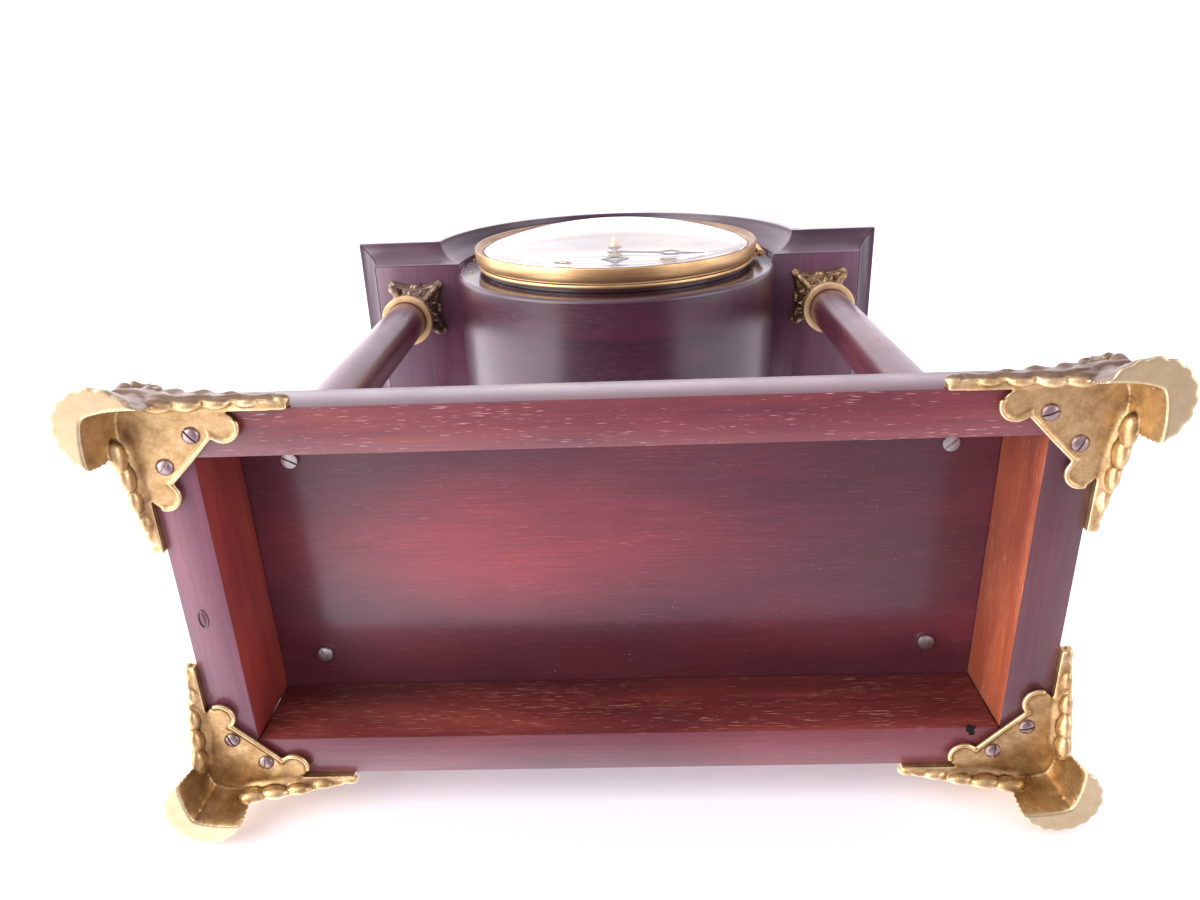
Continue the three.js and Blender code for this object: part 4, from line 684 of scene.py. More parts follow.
def make_marks():
    """An oval plug in the left rail, a filled chip in the rear one and two brass pins in the drum's face."""
    ring = [(x, y, FOOT_HEIGHT - 0.02) for x, y in arc(PLUG_SPOT, (1.5, 3.2), 0, 360, 40)]
    core = ball((*PLUG_SPOT, FOOT_HEIGHT + 0.02), (1.0, 2.6, 0.22), 8, 24)
    x, y = CHIP_SPOT
    chip = [
        ball((x + right, y + back, FOOT_HEIGHT + 0.03), (1.5 * size, 1.3 * size, 0.2), 8, 14)
        for right, back, size in CHIP_LUMPS
    ]
    pins = [ball((x, DRUM_FRONT - 0.1, z), (0.8, 0.5, 0.8), 8, 14) for x, z in PIN_SPOTS]
    add_on("rail_plug", join(tube(ring, 0.32, 8), core), POLISHED)
    add_on("rail_filler", join(*chip), FILLER)
    add_on("drum_pins", join(*pins), COLLAR_BRASS)


# ---- Feet ----
# Drawn at the front left: the frame's outer corner is at (0, 0, 0), and the frame lies towards +X, +Y, +Z.

PLATE_OUT = 2.7
PLATE_UNDER = -2.1
LEAF_START, LEAF_REACH = -4.0, 50.0
LEAF_STEPS = 96
# Lumps on the leaf: the share of its length, the size and the rise above its lower edge.
LUMPS = ((0.31, 2.9, -0.2), (0.46, 2.7, 0.3), (0.62, 2.3, 0.0), (0.78, 2.1, 0.3))
# Ribs on the leaf: where one starts, how far out it lies, its rise, its thickness and the beat of its wave.
RIBS = ((0.1, 0.8, 2.6, 1.15, 0), (0.04, 0.5, 7.4, 1.0, 1.7), (0.26, 0.98, 0.2, 0.8, 3))
# The leg on its way down to the floor: the share of the way, its middle, half its depth and half its width.
LEG = (
    (0.0, -6.0, 11.5, 9.2), (0.2, -5.0, 10.8, 9.0), (0.45, -2.6, 10.1, 9.6), (0.72, -0.8, 11.7, 11.2),
    (0.9, 0.0, 13.2, 12.5), (1.0, 0.1, 13.7, 12.9),
)
LEG_SIDES = 144
SCALLOPS = 17
KNEE = (
    (0.8, 12.4), (3.2, 11.8), (5.2, 9.8), (6.0, 7.0), (5.6, 4.2), (5.0, 1.6), (5.0, -1.6), (6.0, -5.4),
    (8.2, -9.6),
)
FOOT_SCREWS = (("a", (16.8, 7)), ("b", (7, 16.8)))


def on_diagonal(out, across, z):
    return (across - out) / sqrt(2), (-across - out) / sqrt(2), z


def plate_shape():
    """The corner plate under the frame, with a bead along its inner edge."""
    lobe = arc((26.2, 4.6), (4.5, 4.5), -60, 152, 17)
    inner = [(21.8, 8.0), (21.0, 8.8)]
    half = [(-PLATE_OUT, -PLATE_OUT), (14, -1.3), (27, -0.1)] + lobe + inner
    outline = half + [(y, x) for x, y in reversed(half[1:])]
    plate = moved(cutout([outline], 1.8), lambda x, y, z: (x, y, z + PLATE_UNDER))
    edge = [(x, y, -1.9) for x, y in lobe[3:] + inner + [(15, 15)]]
    return join(plate, tube(edge + [(y, x, z) for x, y, z in reversed(edge[:-1])], 0.85, 8))


def through(controls, steps):
    """A smooth line through control points."""
    line = []
    last = len(controls) - 1
    for i in range(last):
        p0, p1, p2, p3 = (Vector(controls[min(last, max(0, i + k))]) for k in (-1, 0, 1, 2))
        for j in range(steps):
            t = j / steps
            line.append(tuple(0.5 * (
                2 * p1 + (p2 - p0) * t + (2 * p0 - 5 * p1 + 4 * p2 - p3) * t ** 2
                + (3 * p1 - p0 - 3 * p2 + p3) * t ** 3
            )))
    return line + [tuple(controls[-1])]


def leaf_depth(s):
    return 7.2 - 3.4 * s


def leaf_bottom(s):
    return -2.3 - 5.6 * smoothstep(0.14, 0.34, s) * (1 - smoothstep(0.26, 1.05, s))


def on_leaf(s, out, z):
    return LEAF_START + LEAF_REACH * s, -out, z


def leaf_section(s):
    """The outline across the leaf at a share of its length. Its upper edge swells in lobes."""
    along = LEAF_START + LEAF_REACH * s
    lobe = abs(cos(pi * 4.5 * s)) ** 0.6
    tip = 1 - smoothstep(0.9, 1.0, s) * 0.55
    edge = PLATE_OUT * (1 - smoothstep(0, 26, along))
    deep = leaf_depth(s) * tip
    low = -2.0 + (leaf_bottom(s) + 2.0) * tip
    high = (14.2 - 8.4 * s ** 0.8) * (0.78 + 0.22 * lobe) * tip + 0.6
    vein = 0.4 * cos(tau * (6 * s + 0.35))
    inside = -0.8 if 1 < along < 28 else 0.1
    section = through([
        (inside, PLATE_UNDER), (edge, PLATE_UNDER - 0.1), (0.5 * (edge + deep), 0.45 * (low + PLATE_UNDER)),
        (0.86 * deep, low + 0.5), (deep, low + 2.6), (0.8 * deep + vein, low + 0.45 * (high - low)),
        (0.52 * deep - vein, low + 0.7 * (high - low)), (0.42 * deep + 0.5 + vein, high - 0.8), (0.8, high),
    ], 4)
    section += [(0.06, high - 0.3), (0.06, -0.36), (inside, -0.36)]
    return [on_leaf(s, out, z) for out, z in section]


def leaf_rib(first, share, height, thick, beat):
    steps = 36
    line = []
    for i in range(steps + 1):
        s = first + (0.94 - first) * i / steps
        wave = 0.5 * sin(tau * 5.2 * s + beat)
        rise = leaf_bottom(s) + 2.4 + height * (1 - 0.75 * s) + 0.6 * wave
        line.append(on_leaf(s, share * leaf_depth(s) + 0.4 * wave, rise))
    return tube(line, lambda s: thick * (1 - 0.45 * s), 10)


def wing_shape():
    """An acanthus leaf that lies along the face of the frame, from the corner to its curled tip."""
    shapes = [loft([leaf_section(i / LEAF_STEPS) for i in range(LEAF_STEPS + 1)])]
    for s, size, shift in LUMPS:
        spot = on_leaf(s, leaf_depth(s) - 0.8 * size, leaf_bottom(s) + 1.6 + shift)
        shapes.append(ball(spot, (1.8 * size, 0.85 * size, size)))
    shapes += [leaf_rib(*rib) for rib in RIBS]
    shapes.append(ball((44.2, -2.6, 0.0), (2.8, 1.8, 2.1)))
    return join(*shapes)


def leg_at(t):
    for (t0, *a), (t1, *b) in zip(LEG, LEG[1:]):
        if t <= t1:
            share = smoothstep(t0, t1, t) * 0.5 + 0.5 * (t - t0) / (t1 - t0)
            return [p + (q - p) * share for p, q in zip(a, b)]
    return LEG[-1][1:]


def sole_lift(out, across):
    """How far the hollow behind the toe rises above the floor: two pockets with a rib between them."""
    side = sqrt(across * across + 0.2) - 0.45
    pocket = 2.4 * sin(pi * min(1.0, side / 11.5))
    floor_way = 5.9 - 0.5 * side - 0.02 * side * side - out
    plate_way = out - (3.6 + pocket - side)
    if floor_way <= 0:
        return 0.0
    share = 1.0 if plate_way <= 0 else floor_way / (floor_way + plate_way)
    return 15.6 * share ** 1.5


def leg_row(t, share=1):
    """A ring round the leg at t of its way down, drawn in to a share of its size."""
    middle, deep, wide = leg_at(t)
    row = []
    for j in range(LEG_SIDES):
        a = tau * j / LEG_SIDES
        reach = share * (1 + 0.055 * t ** 1.3 * (abs(cos(SCALLOPS / 2 * a)) - 0.6))
        out, across = middle + deep * reach * cos(a), wide * reach * sin(a)
        end = -FOOT_HEIGHT + sole_lift(out, across)
        row.append(on_diagonal(out, across, -GAP + (end + GAP) * t))
    return row


def leg_shape():
    """The leg with its shell-shaped toe, closed below by its hollow sole."""
    down, inwards = 22, 23
    rows = [leg_row(i / down) for i in range(down + 1)]
    return loft(rows + [leg_row(1, 1 - k / (inwards + 0.5)) for k in range(1, inwards + 1)])


def volute(flip):
    coil = []
    for i in range(30):
        share = i / 29
        a = tau * 1.5 * share + 2.6
        r = 3.3 - 2.4 * share
        x, y, z = 4.6 + r * cos(a), -4.3 - 1.3 * share, 4.6 + r * sin(a)
        coil.append((y, x, z) if flip else (x, y, z))
    return tube(coil, lambda s: 1.2 - 0.25 * s, 10)


def knee_shape():
    """The scroll that stands on the corner above the toe, with a volute on both sides."""
    path = [on_diagonal(out, 0, z) for out, z in KNEE]
    spine = tube(path, lambda s: 1.9 + 1.2 * sin(pi * min(1, s * 1.25)) - 0.5 * s, 12)
    return join(spine, volute(True), volute(False))


def screw_head(radius, height, dome, slot_width, slot_depth, turn=0.0):
    """A slotted head that faces down from z = 0, in two halves with the slot between them."""
    shapes = []
    half = slot_width / 2
    start = asin(half / radius)
    for side in (-1, 1):
        points = []
        for i in range(17):
            a = start + (pi - 2 * start) * i / 16
            for share in (1.0, 0.93, 0.75, 0.5, 0.2):
                x = radius * share * cos(a)
                y = half + (radius * sin(a) - half) * share
                reach = min(1.0, hypot(x, y) / radius)
                rise = (height - dome) * (1 if share < 1 else 0.6) + dome * sqrt(max(0.0, 1 - reach * reach))
                points.append((x, side * y, -rise))
            points.append((radius * cos(a), side * radius * sin(a), 0.0))
        shapes.append(hull([(*clockwise([(x, y)], -turn)[0], z) for x, y, z in points]))
    floor = height - slot_depth
    shapes.append(turned([(0.01, 0), (radius * 0.97, 0), (radius * 0.97, -floor * 0.7), (0.01, -floor)], 24))
    return join(*shapes)


def foot_meshes():
    """The casting as it is at the back, and the same one with painted shade on the faces towards the front."""
    wing = wing_shape()
    other_wing = moved(wing, lambda x, y, z: (y, x, z))
    casting = cast("foot_casting", join(plate_shape(), wing, other_wing, leg_shape(), knee_shape()), 0.4)
    casting.materials.append(FOOT_GILT)
    casting.materials.append(SOLE_GILT)
    for face in casting.polygons:
        if face.center.z < -(FOOT_HEIGHT - 0.35) * MM:
            face.material_index = 1
    front_shaded = casting.copy()
    front_shaded.materials[0] = FRONT_FOOT_SHADED_GILT
    return casting, front_shaded


def make_feet():
    casting, front_shaded = foot_meshes()
    half_x, half_y = BASE_WIDTH / 2, BASE_DEPTH / 2
    # The front feet take the copy with painted shade.
    feet = (
        ("front_left", front_shaded, -half_x, -half_y, 0, (0.9, 2.3)),
        ("front_right", front_shaded, half_x, -half_y, pi / 2, (0.4, 1.2)),
        ("rear_left", casting, -half_x, half_y, -pi / 2, (2.7, 0.2)),
        ("rear_right", casting, half_x, half_y, pi, (1.7, 2.9)),
    )
    for name, look, x, y, turn, slot_turns in feet:
        place = at(x, y, FOOT_HEIGHT, turn)
        piece("foot_casting_" + name, look, (), "foot_" + name, place=place)
        for (letter, spot), slot_turn in zip(FOOT_SCREWS, slot_turns):
            head = mesh_from("foot_screw", screw_head(2.7, 1.5, 1.1, 0.65, 0.7, slot_turn))
            piece(f"foot_screw_{name}_{letter}", head, SCREW_STEEL, place=place @ at(*spot, -1.95))


# ---- Columns ----

SCREW_HOLE_RADIUS, SCREW_HOLE_DEPTH = 2.2, 13
TENON_RADIUS, TENON_TOP = 5, 264.9
COLUMN_BASE_WAIST = 11.6
COLLAR = (
    (10.15, 1.7), (10.2, 0.1), (12.6, 0), (12.82, 0.12), (COLLAR_RADIUS, 0.4), (COLLAR_RADIUS, 3.2),
    (12.75, 3.75), (12.3, 4), (9.0, 4.4), (5.4, 4.4), (5.4, 1.7),
)
BELL = ((5.4, 3.2), (11.2, 3.2), (9.4, 5.4), (8.7, 12), (9.2, 19), (10.6, 24))


def base_profile():
    r, h = COLUMN_BASE_RADIUS, COLUMN_BASE_HEIGHT
    lower = arc((r - 1.6, 2.8), (1.6, 2.4), -75, 75, 10)
    scotia = [(COLUMN_BASE_WAIST + 1.1 * (1 - sin(pi * i / 8)), 6.2 + 3.4 * i / 8) for i in range(9)]
    upper = arc((r - 2.5, 11.2), (1.1, 1.3), -80, 80, 8)
    neck = [(11.2, 12.9), (11.0, h - 1.6), (11.9, h - 0.9), (11.9, h - 0.2), (11.5, h)]
    hole = SCREW_HOLE_RADIUS
    return [(hole, 0), (r - 0.6, 0)] + lower + scotia + upper + neck + [(hole, h)]


def shaft_profile():
    r, top, end = COLUMN_RADIUS, SHAFT_TOP + 1.7, SHAFT_BOTTOM + SCREW_HOLE_DEPTH
    return [
        (0.01, end), (SCREW_HOLE_RADIUS, end), (SCREW_HOLE_RADIUS, SHAFT_BOTTOM), (r - 0.3, SHAFT_BOTTOM),
        (r, SHAFT_BOTTOM + 0.3), (r, 120), (r, 180), (r, SHAFT_TOP + 1.4), (r - 0.3, top), (TENON_RADIUS, top),
        (TENON_RADIUS, TENON_TOP), (0.01, TENON_TOP),
    ]


def leaf_shape(angle, root, level, height, width, throw):
    """A curled leaf on the bell of the capital. angle is its place round the bell."""
    rows, columns = 18, 10
    front, back = [], []
    for i in range(rows + 1):
        s = i / rows
        z = level + height * (1.5 * s - 0.62 * s ** 3) / 0.93
        r = root + throw * s ** 3.2 + 0.8 * s
        half = width / 2 * (0.86 + 0.3 * sin(pi * min(1, 0.9 * s))) * (1 - 0.72 * smoothstep(0.78, 1, s))
        half *= 1 + 0.11 * cos(tau * 3.5 * s)
        row, rear = [], []
        for j in range(columns + 1):
            w = 2 * j / columns - 1
            fold = 0.55 * exp(-(w / 0.16) ** 2) - 0.9 * w * w + 0.28 * cos(tau * (2 * s + 0.8 * abs(w)))
            a = angle + half * w / r
            for rank, inset in ((row, 0.0), (rear, -1.1)):
                reach = r + fold + inset
                drop = -0.5 * smoothstep(0.85, 1, s) if inset else 0
                rank.append((reach * cos(a), reach * sin(a), z + drop))
        front.append(row)
        back.append(rear)
    return sheet(front, back)


def corner_scroll(a):
    """A stalk and a coil under one corner of the capital's square top, at the angle a."""
    stalk, coil = [], []
    for k in range(12):
        s = k / 11
        r = 9.6 + 6.6 * s ** 1.8
        stalk.append((r * cos(a), r * sin(a), 13 + 11.2 * s))
    for k in range(22):
        turn = 0.4 + tau * 1.35 * k / 21
        width = 3.0 - 2.1 * k / 21
        r, z = 15.4 + width * cos(turn), 23.0 + width * sin(turn)
        coil.append((r * cos(a), r * sin(a), z))
    return [tube(stalk, lambda s: 1.7 + 0.3 * s, 10), tube(coil, 1.45, 10)]


def flower(a):
    """Five petals in the middle of one side of the square top, at the angle a."""
    r, level = 12.2, 28.2
    petals = []
    for i in range(5):
        side, up = 1.7 * cos(tau * i / 5), 1.7 * sin(tau * i / 5)
        centre = (r * cos(a) - side * sin(a), r * sin(a) + side * cos(a), level + up)
        petals.append(ball(centre, (1.3, 1.3, 1.3), 6, 8))
    return petals


def abacus_outline(half, waist, cut_corner):
    """A square with its corners cut off and its sides drawn in to the waist."""
    points = []
    for quarter in range(4):
        side = [(half - cut_corner, half), (half, half - cut_corner)]
        for i in range(1, 12):
            along = 1 - i / 6
            side.append((half - (half - waist) * (1 - along ** 2), (half - cut_corner) * along))
        points += clockwise(side, quarter * pi / 2)
    return points[::-1]


def capital_mesh():
    top = CAPITAL_HEIGHT - ABACUS_HEIGHT
    shapes = [turned([*BELL, (12.4, top + 0.4), (5.4, top + 0.4)], 48)]
    for i in range(8):
        shapes.append(leaf_shape(tau * i / 8, 9.7, 4.0, 10.2, 7.4, 2.9))
        shapes.append(leaf_shape(tau * (i + 0.5) / 8, 9.3, 4.2, 16.6, 6.6, 3.0))
    for i in range(4):
        shapes += corner_scroll(tau * (i + 0.5) / 4)
        shapes += flower(tau * i / 4)
    slabs = (
        (13.4, 11.0, top - 0.3, top + 1.5), (14.3, 11.6, top + 1.3, top + 2.4),
        (15.0, 12.2, top + 2.2, CAPITAL_HEIGHT),
    )
    for half, waist, low, high in slabs:
        slab = cutout([abacus_outline(half, waist, 2.2)], high - low)
        shapes.append(moved(slab, lambda x, y, z: (x, y, z + low)))
    return cast("capital_casting", join(*shapes), 0.42)


def make_columns():
    """The capitals on the left get a darker, dimmer gilt than those on the right: painted shade."""
    capital = capital_mesh()
    collar = mesh_from("capital_collar", turned(COLLAR, 64))
    base = mesh_from("column_base", turned(base_profile(), 64))
    shaft = turned(shaft_profile(), 64)
    for i, (name, (x, y)) in enumerate(COLUMN_SPOTS.items()):
        stand_in(
            "column_shaft_" + name, "column_" + name, shaft, POLISHED, "mahogany",
            place=at(x, y, 0, i * pi / 2), grain=lambda a, b, c: (c + 320 * i, a + 41 * i, b),
        )
        piece(
            "column_foot_" + name, base, CAPITAL_GILT, "column_base_" + name,
            place=at(x, y, COLUMN_BASE_LEVEL),
        )
        place = at(x, y, CAPITAL_LEVEL)
        # Painted shade on the left capitals.
        gilding = LEFT_SHADED_GILT if x < 0 else CAPITAL_GILT
        node_name = "capital_" + name
        piece("capital_leaves_" + name, capital.copy(), gilding, node_name, place=place)
        piece("capital_collar_" + name, collar, COLLAR_BRASS, node_name, place=place)
        head = mesh_from("column_screw", screw_head(2.9, 1.2, 0.25, 0.75, 0.65, 0.5 + 1.9 * i))
        piece(
            "column_screw_head_" + name, head, STEEL, "column_screw_" + name,
            place=at(x, y, BOARD_LEVEL - 0.3),
        )


# ---- Head ----

# How far the mitre between a straight moulding and the arch moves sideways for each mm of height.
MITRE_SLOPE = (sqrt(ARCH_OUTER ** 2 - CORNICE_HEIGHT ** 2) - ARCH_INNER) / CORNICE_HEIGHT
CORNICE_SECTION = arc((COVE_DEPTH, 0), (COVE_DEPTH, COVE_HEIGHT), 180, 90, 14)
CORNICE_SECTION += [(COVE_DEPTH, CORNICE_HEIGHT), (0, CORNICE_HEIGHT)]
BACK_RING = ((60, 46), (75.7, 46), (75.7, 55.4), (75.4, 55.7), (60.3, 55.7), (60, 55.4))


def straight_run(ends, place):
    """A moulding between ends(out, height). place(t, out, height) puts its points into the clock."""
    steps = 4
    rows = []
    for i in range(steps + 1):
        row = []
        for out, height in CORNICE_SECTION:
            a, b = ends(out, height)
            row.append(place(a + (b - a) * i / steps, out, height))
        rows.append(row)
    return loft(rows)


def arch_run():
    steps = 96
    rows = []
    for i in range(steps + 1):
        row = []
        for out, height in CORNICE_SECTION:
            r = ARCH_INNER + height
            end = acos(ARCH_INNER / (r * hypot(1, MITRE_SLOPE))) - atan(MITRE_SLOPE)
            a = end + (pi - 2 * end) * i / steps
            row.append((r * cos(a), -HEAD_HALF_DEPTH - out, HEAD_LEVEL + r * sin(a)))
        rows.append(row)
    return loft(rows)


def front_ends(out, height):
    return ARCH_INNER + MITRE_SLOPE * height + GAP, SOFFIT_HALF + out - GAP


def side_ends(out, height):
    return -HEAD_HALF_DEPTH - out + GAP, HEAD_HALF_DEPTH


def round_grain(x, y, z):
    """Grain that follows the drum's circle."""
    return atan2(z - HEAD_LEVEL, x) * 90, hypot(x, z - HEAD_LEVEL), y


def soffit_shape(side):
    """A board between a cornice and the drum, hollowed at its inner edge to fit round the drum."""
    steps = 10
    heights = [COVE_HEIGHT * i / steps for i in range(steps + 1)]
    outline = [(side * sqrt(ARCH_INNER ** 2 - z ** 2), z) for z in heights]
    outline += [(side * (SOFFIT_HALF - GAP), COVE_HEIGHT), (side * (SOFFIT_HALF - GAP), 0)]
    depth = (GAP - HEAD_HALF_DEPTH, HEAD_HALF_DEPTH)
    return loft([[(x, y, HEAD_LEVEL + z) for x, z in outline] for y in depth])


def make_wing(side, name):
    """The soffit board and the straight cornice mouldings on one side of the drum."""
    stand_in(
        "soffit_board_" + name, "soffit_" + name, soffit_shape(side), SOFFIT_WOOD, "dark_mahogany",
        soften=0.25, grain=lambda x, y, z: (y + 400 * side, x, z),
    )
    front = straight_run(front_ends, lambda t, out, z: (side * t, -HEAD_HALF_DEPTH - out, HEAD_LEVEL + z))
    stand_in(
        "cornice_moulding_front_" + name, "cornice_front_" + name, front, CORNICE_WOOD_AS_LIT, "mahogany",
        soften=0.3, sharp=30, grain=lambda x, y, z: (x, y + 200, z),
    )
    run = straight_run(side_ends, lambda t, out, z: (side * (SOFFIT_HALF + out), t, HEAD_LEVEL + z))
    stand_in(
        "cornice_moulding_side_" + name, "cornice_side_" + name, run, CORNICE_WOOD_AS_LIT, "mahogany",
        soften=0.3, sharp=30, grain=lambda x, y, z: (y + 600, x, z),
    )


def roof_shape():
    """The flat roofs on both sides and the arched one between them, as one plate from front to back."""
    low, high, x = COVE_HEIGHT + GAP, CORNICE_HEIGHT, SOFFIT_HALF - GAP
    outer, inner = degrees(asin(high / ARCH_OUTER)), degrees(asin(low / ARCH_INNER))
    outline = [(x, low), (x, high)] + arc((0, 0), (ARCH_OUTER, ARCH_OUTER), outer, 180 - outer, 96)
    outline += [(-x, high), (-x, low)] + arc((0, 0), (ARCH_INNER, ARCH_INNER), 180 - inner, inner, 96)
    plate = cutout([outline], 2 * HEAD_HALF_DEPTH - GAP)
    return moved(plate, lambda a, b, c: (a, HEAD_HALF_DEPTH - c, HEAD_LEVEL + b))


def drum_profile():
    r, front, rear, opening, wall = DRUM_RADIUS, DRUM_FRONT, DRUM_REAR, 63, 76
    return [
        (opening, front + 0.4), (opening + 0.4, front), *arc((r - 2, front + 2), (2, 2), -90, 0, 10),
        (r, -20), (r, 20), (r, rear - 0.4), (r - 0.4, rear), (wall, rear), (wall, front + 10),
        (opening, front + 10),
    ]


def paint_front(centre, normal):
    return 1 if normal.y < -0.8 else 0


def make_head():
    make_wing(-1, "left")
    make_wing(1, "right")
    stand_in(
        "cornice_moulding_arch", "cornice_arch", arch_run(), CORNICE_WOOD_AS_LIT, "mahogany",
        soften=0.3, sharp=30, grain=round_grain,
    )
    stand_in(
        "head_roof", "head_top", roof_shape(), POLISHED, "dark_mahogany",
        soften=0.3, sharp=50, grain=lambda x, y, z: (y, x, z),
    )
    stand_in(
        "drum_case", "drum_shell", faced(drum_profile(), 144), (DRUM_WOOD, DRUM_FACE), "dark_mahogany",
        grain=round_grain, paint=paint_front,
    )
    stand_in(
        "drum_back_ring", "drum_back", faced(BACK_RING, 96), INNER_WOOD, "mahogany",
        grain=lambda x, y, z: (x, z, y),
    )


# ---- Bezel, dial and doors ----
# The profiles below are (radius, y) points.

SEAT_RING = (
    (64.5, -61.9), (69.9, -61.9), (69.9, RING_FRONT + 0.2), (70.1, RING_FRONT), (71.7, RING_FRONT),
    (72.5, RING_FRONT + 0.2), (72.8, RING_FRONT + 0.6), (72.8, RING_FRONT + 1.6), (72.5, RING_FRONT + 2.1),
    (71.7, RING_FRONT + 2.3), (70.6, RING_FRONT + 2.3), (70.6, DRUM_FRONT - GAP), (64.5, DRUM_FRONT - GAP),
)
BEZEL_BAND = (
    (71.0, BEZEL_REAR), (72.2, BEZEL_REAR), (72.2, BEZEL_REAR - 0.5), (73.4, BEZEL_REAR - 0.7),
    (73.7, BEZEL_REAR - 1.1), (74.0, BEZEL_REAR - 4.2), (74.1, BEZEL_FRONT + 0.7), (74.0, BEZEL_FRONT + 0.25),
    (73.7, BEZEL_FRONT), (73.1, BEZEL_FRONT), (72.4, BEZEL_FRONT + 0.5), (71.4, BEZEL_FRONT + 1.2),
    (70.3, BEZEL_FRONT + 1.7), (70.0, BEZEL_FRONT + 2.2), (70.0, BEZEL_FRONT + 3.2), (71.0, BEZEL_FRONT + 3.2),
)
GLASS_EDGE, GLASS_RISE, GLASS_THICKNESS = 69.2, 10.9, 1.6
GLASS_FLANGE, GLASS_RIM = BEZEL_FRONT + 3.5, BEZEL_FRONT + 1.4
SPIGOT = 59.7
DOOR_HINGE = (SPIGOT + 11, 57.9)
DOOR_RING = (
    (SPIGOT - 1.5, 51), (SPIGOT, 51), (SPIGOT, 56), (SPIGOT + 8, 56), (SPIGOT + 8, 57), (SPIGOT + 7.7, 57.3),
    (SPIGOT - 1.5, 57.3),
)
DOOR = (
    (0.01, 57.6), (66.5, 57.6), (66.4, 58.4), (66.0, 58.8), (63.6, 58.8), (63.2, 58.5), (61.4, 58.5),
    (61.0, 58.8), (0.01, 58.8),
)
KNOB = (
    (0.01, 58.3), (1.5, 58.3), (1.5, 60.2), (2.2, 60.9), (3.4, 61.8), (3.5, 62.6), (2.9, 63.4), (1.6, 63.8),
    (0.01, 63.8),
)
KNOB_X = -60.5
KNUCKLE_RADIUS, PIN_RADIUS = 1.9, 0.8
PIN = ((0.01, -9.5), (0.6, -9.5), (PIN_RADIUS, -9.3), (PIN_RADIUS, 9.3), (0.6, 9.5), (0.01, 9.5))


def knuckle(spot, z0, z1, lug_end, lug_depth):
    """A hinge knuckle at (x, y) from z0 to z1 above the dial's centre, with a lug to x = lug_end."""
    bore, r = PIN_RADIUS + 0.05, KNUCKLE_RADIUS
    profile = [(bore, z0), (r - 0.2, z0), (r, z0 + 0.2), (r, z1 - 0.2), (r - 0.2, z1), (bore, z1)]
    lug = hull([(a, b, c) for a in sorted((spot[0], lug_end)) for b in lug_depth for c in (z0, z1)])
    return moved(join(turned(profile, 20, spot), lug), lambda x, y, z: (x, y, z + HEAD_LEVEL))


def fixed_hinge(spot, lug_end, lug_depth):
    """The two fixed knuckles with the pin through them."""
    pin = moved(turned(PIN, 16, spot), lambda x, y, z: (x, y, z + HEAD_LEVEL))
    upper = knuckle(spot, 3.3, 9.3, lug_end, lug_depth)
    return join(upper, knuckle(spot, -9.3, -3.3, lug_end, lug_depth), pin)


def paint_seat_shadow(centre, normal):
    """Painted shadow: the step behind the ring takes the dark wood of the drum's face."""
    return 1 if centre.y > RING_FRONT + 2.25 and hypot(centre.x, centre.z - HEAD_LEVEL) < 73 else 0


# The front faces of the bezel's rim take the darker brass: painted shade.
def paint_shaded_rim(centre, normal):
    return 1 if normal.y < -0.6 and centre.y < BEZEL_FRONT + 2.3 else 0


def glass_profile():
    """A dome of even thickness with a flange round it."""
    outside = [
        (max(0.01, GLASS_EDGE * i / 16), GLASS_RIM - GLASS_RISE * (1 - (i / 16) ** 2)) for i in range(17)
    ]
    outside += [(69.6, GLASS_RIM + 0.4), (69.7, GLASS_RIM + 0.9), (69.7, GLASS_FLANGE)]
    inside = [(r - 0.6 * max(0, r - 68) / 1.6, y + GLASS_THICKNESS) for r, y in reversed(outside[:-1])]
    back = GLASS_FLANGE + GLASS_THICKNESS
    return outside + [(70.7, GLASS_FLANGE), (70.7, back), (68.9, back)] + inside


def make_bezel():
    # The step behind the seat ring is painted dark as a shadow.
    seat = join(faced(SEAT_RING, 144), fixed_hinge(BEZEL_HINGE, 71.2, (RING_FRONT, RING_FRONT + 1.6)))
    stand_in("bezel_seat", "bezel_ring", seat, (BEZEL_BRASS, DRUM_FACE), "brass", paint=paint_seat_shadow)
    moving = knuckle(BEZEL_HINGE, -3, 3, 72.2, (BEZEL_REAR - 1.6, BEZEL_REAR - 0.1))
    band = join(faced(BEZEL_BAND, 160), moving)
    stand_in("bezel_band", "bezel", band, (BEZEL_BRASS, SHADED_RIM_BRASS), "brass", "bezel_door", paint=paint_shaded_rim)
    dome = faced(glass_profile(), 128)
    stand_in("bezel_dome", "bezel_glass", dome, GLASS, "clear_glass", "bezel_door", sharp=50)


def make_back_door():
    ring = join(faced(DOOR_RING, 128), fixed_hinge(DOOR_HINGE, SPIGOT + 7, (56, 57.3)))
    stand_in("rear_door_ring", "rear_ring", ring, PLATE_BRASS, "brass")
    moving = knuckle(DOOR_HINGE, -3, 3, 65.5, (57.7, 58.7))
    door = join(faced(DOOR, 128), faced(KNOB, 32, (KNOB_X, HEAD_LEVEL)), moving)
    stand_in("rear_door_disc", "rear_door", door, PLATE_BRASS, "brass", "back_door")


DIAL_FOOT = ((0.01, -62.6), (1.5, -62.6), (1.5, -49.0), (0.01, -49.0))
DIAL_FOOT_REACH = 50
WINDING_RIM = ((4.3, -62.4), (4.4, -63.4), (4.9, -63.45), (5.1, -63.2), (5.1, -62.4))
NUMERALS = ("XII", "I", "II", "III", "IIII", "V", "VI", "VII", "VIII", "IX", "X", "XI")
NUMERAL_RADIUS, NUMERAL_HEIGHT = 55, 11
LETTER_WIDTHS = {"I": 2.6, "V": 6.0, "X": 6.0}
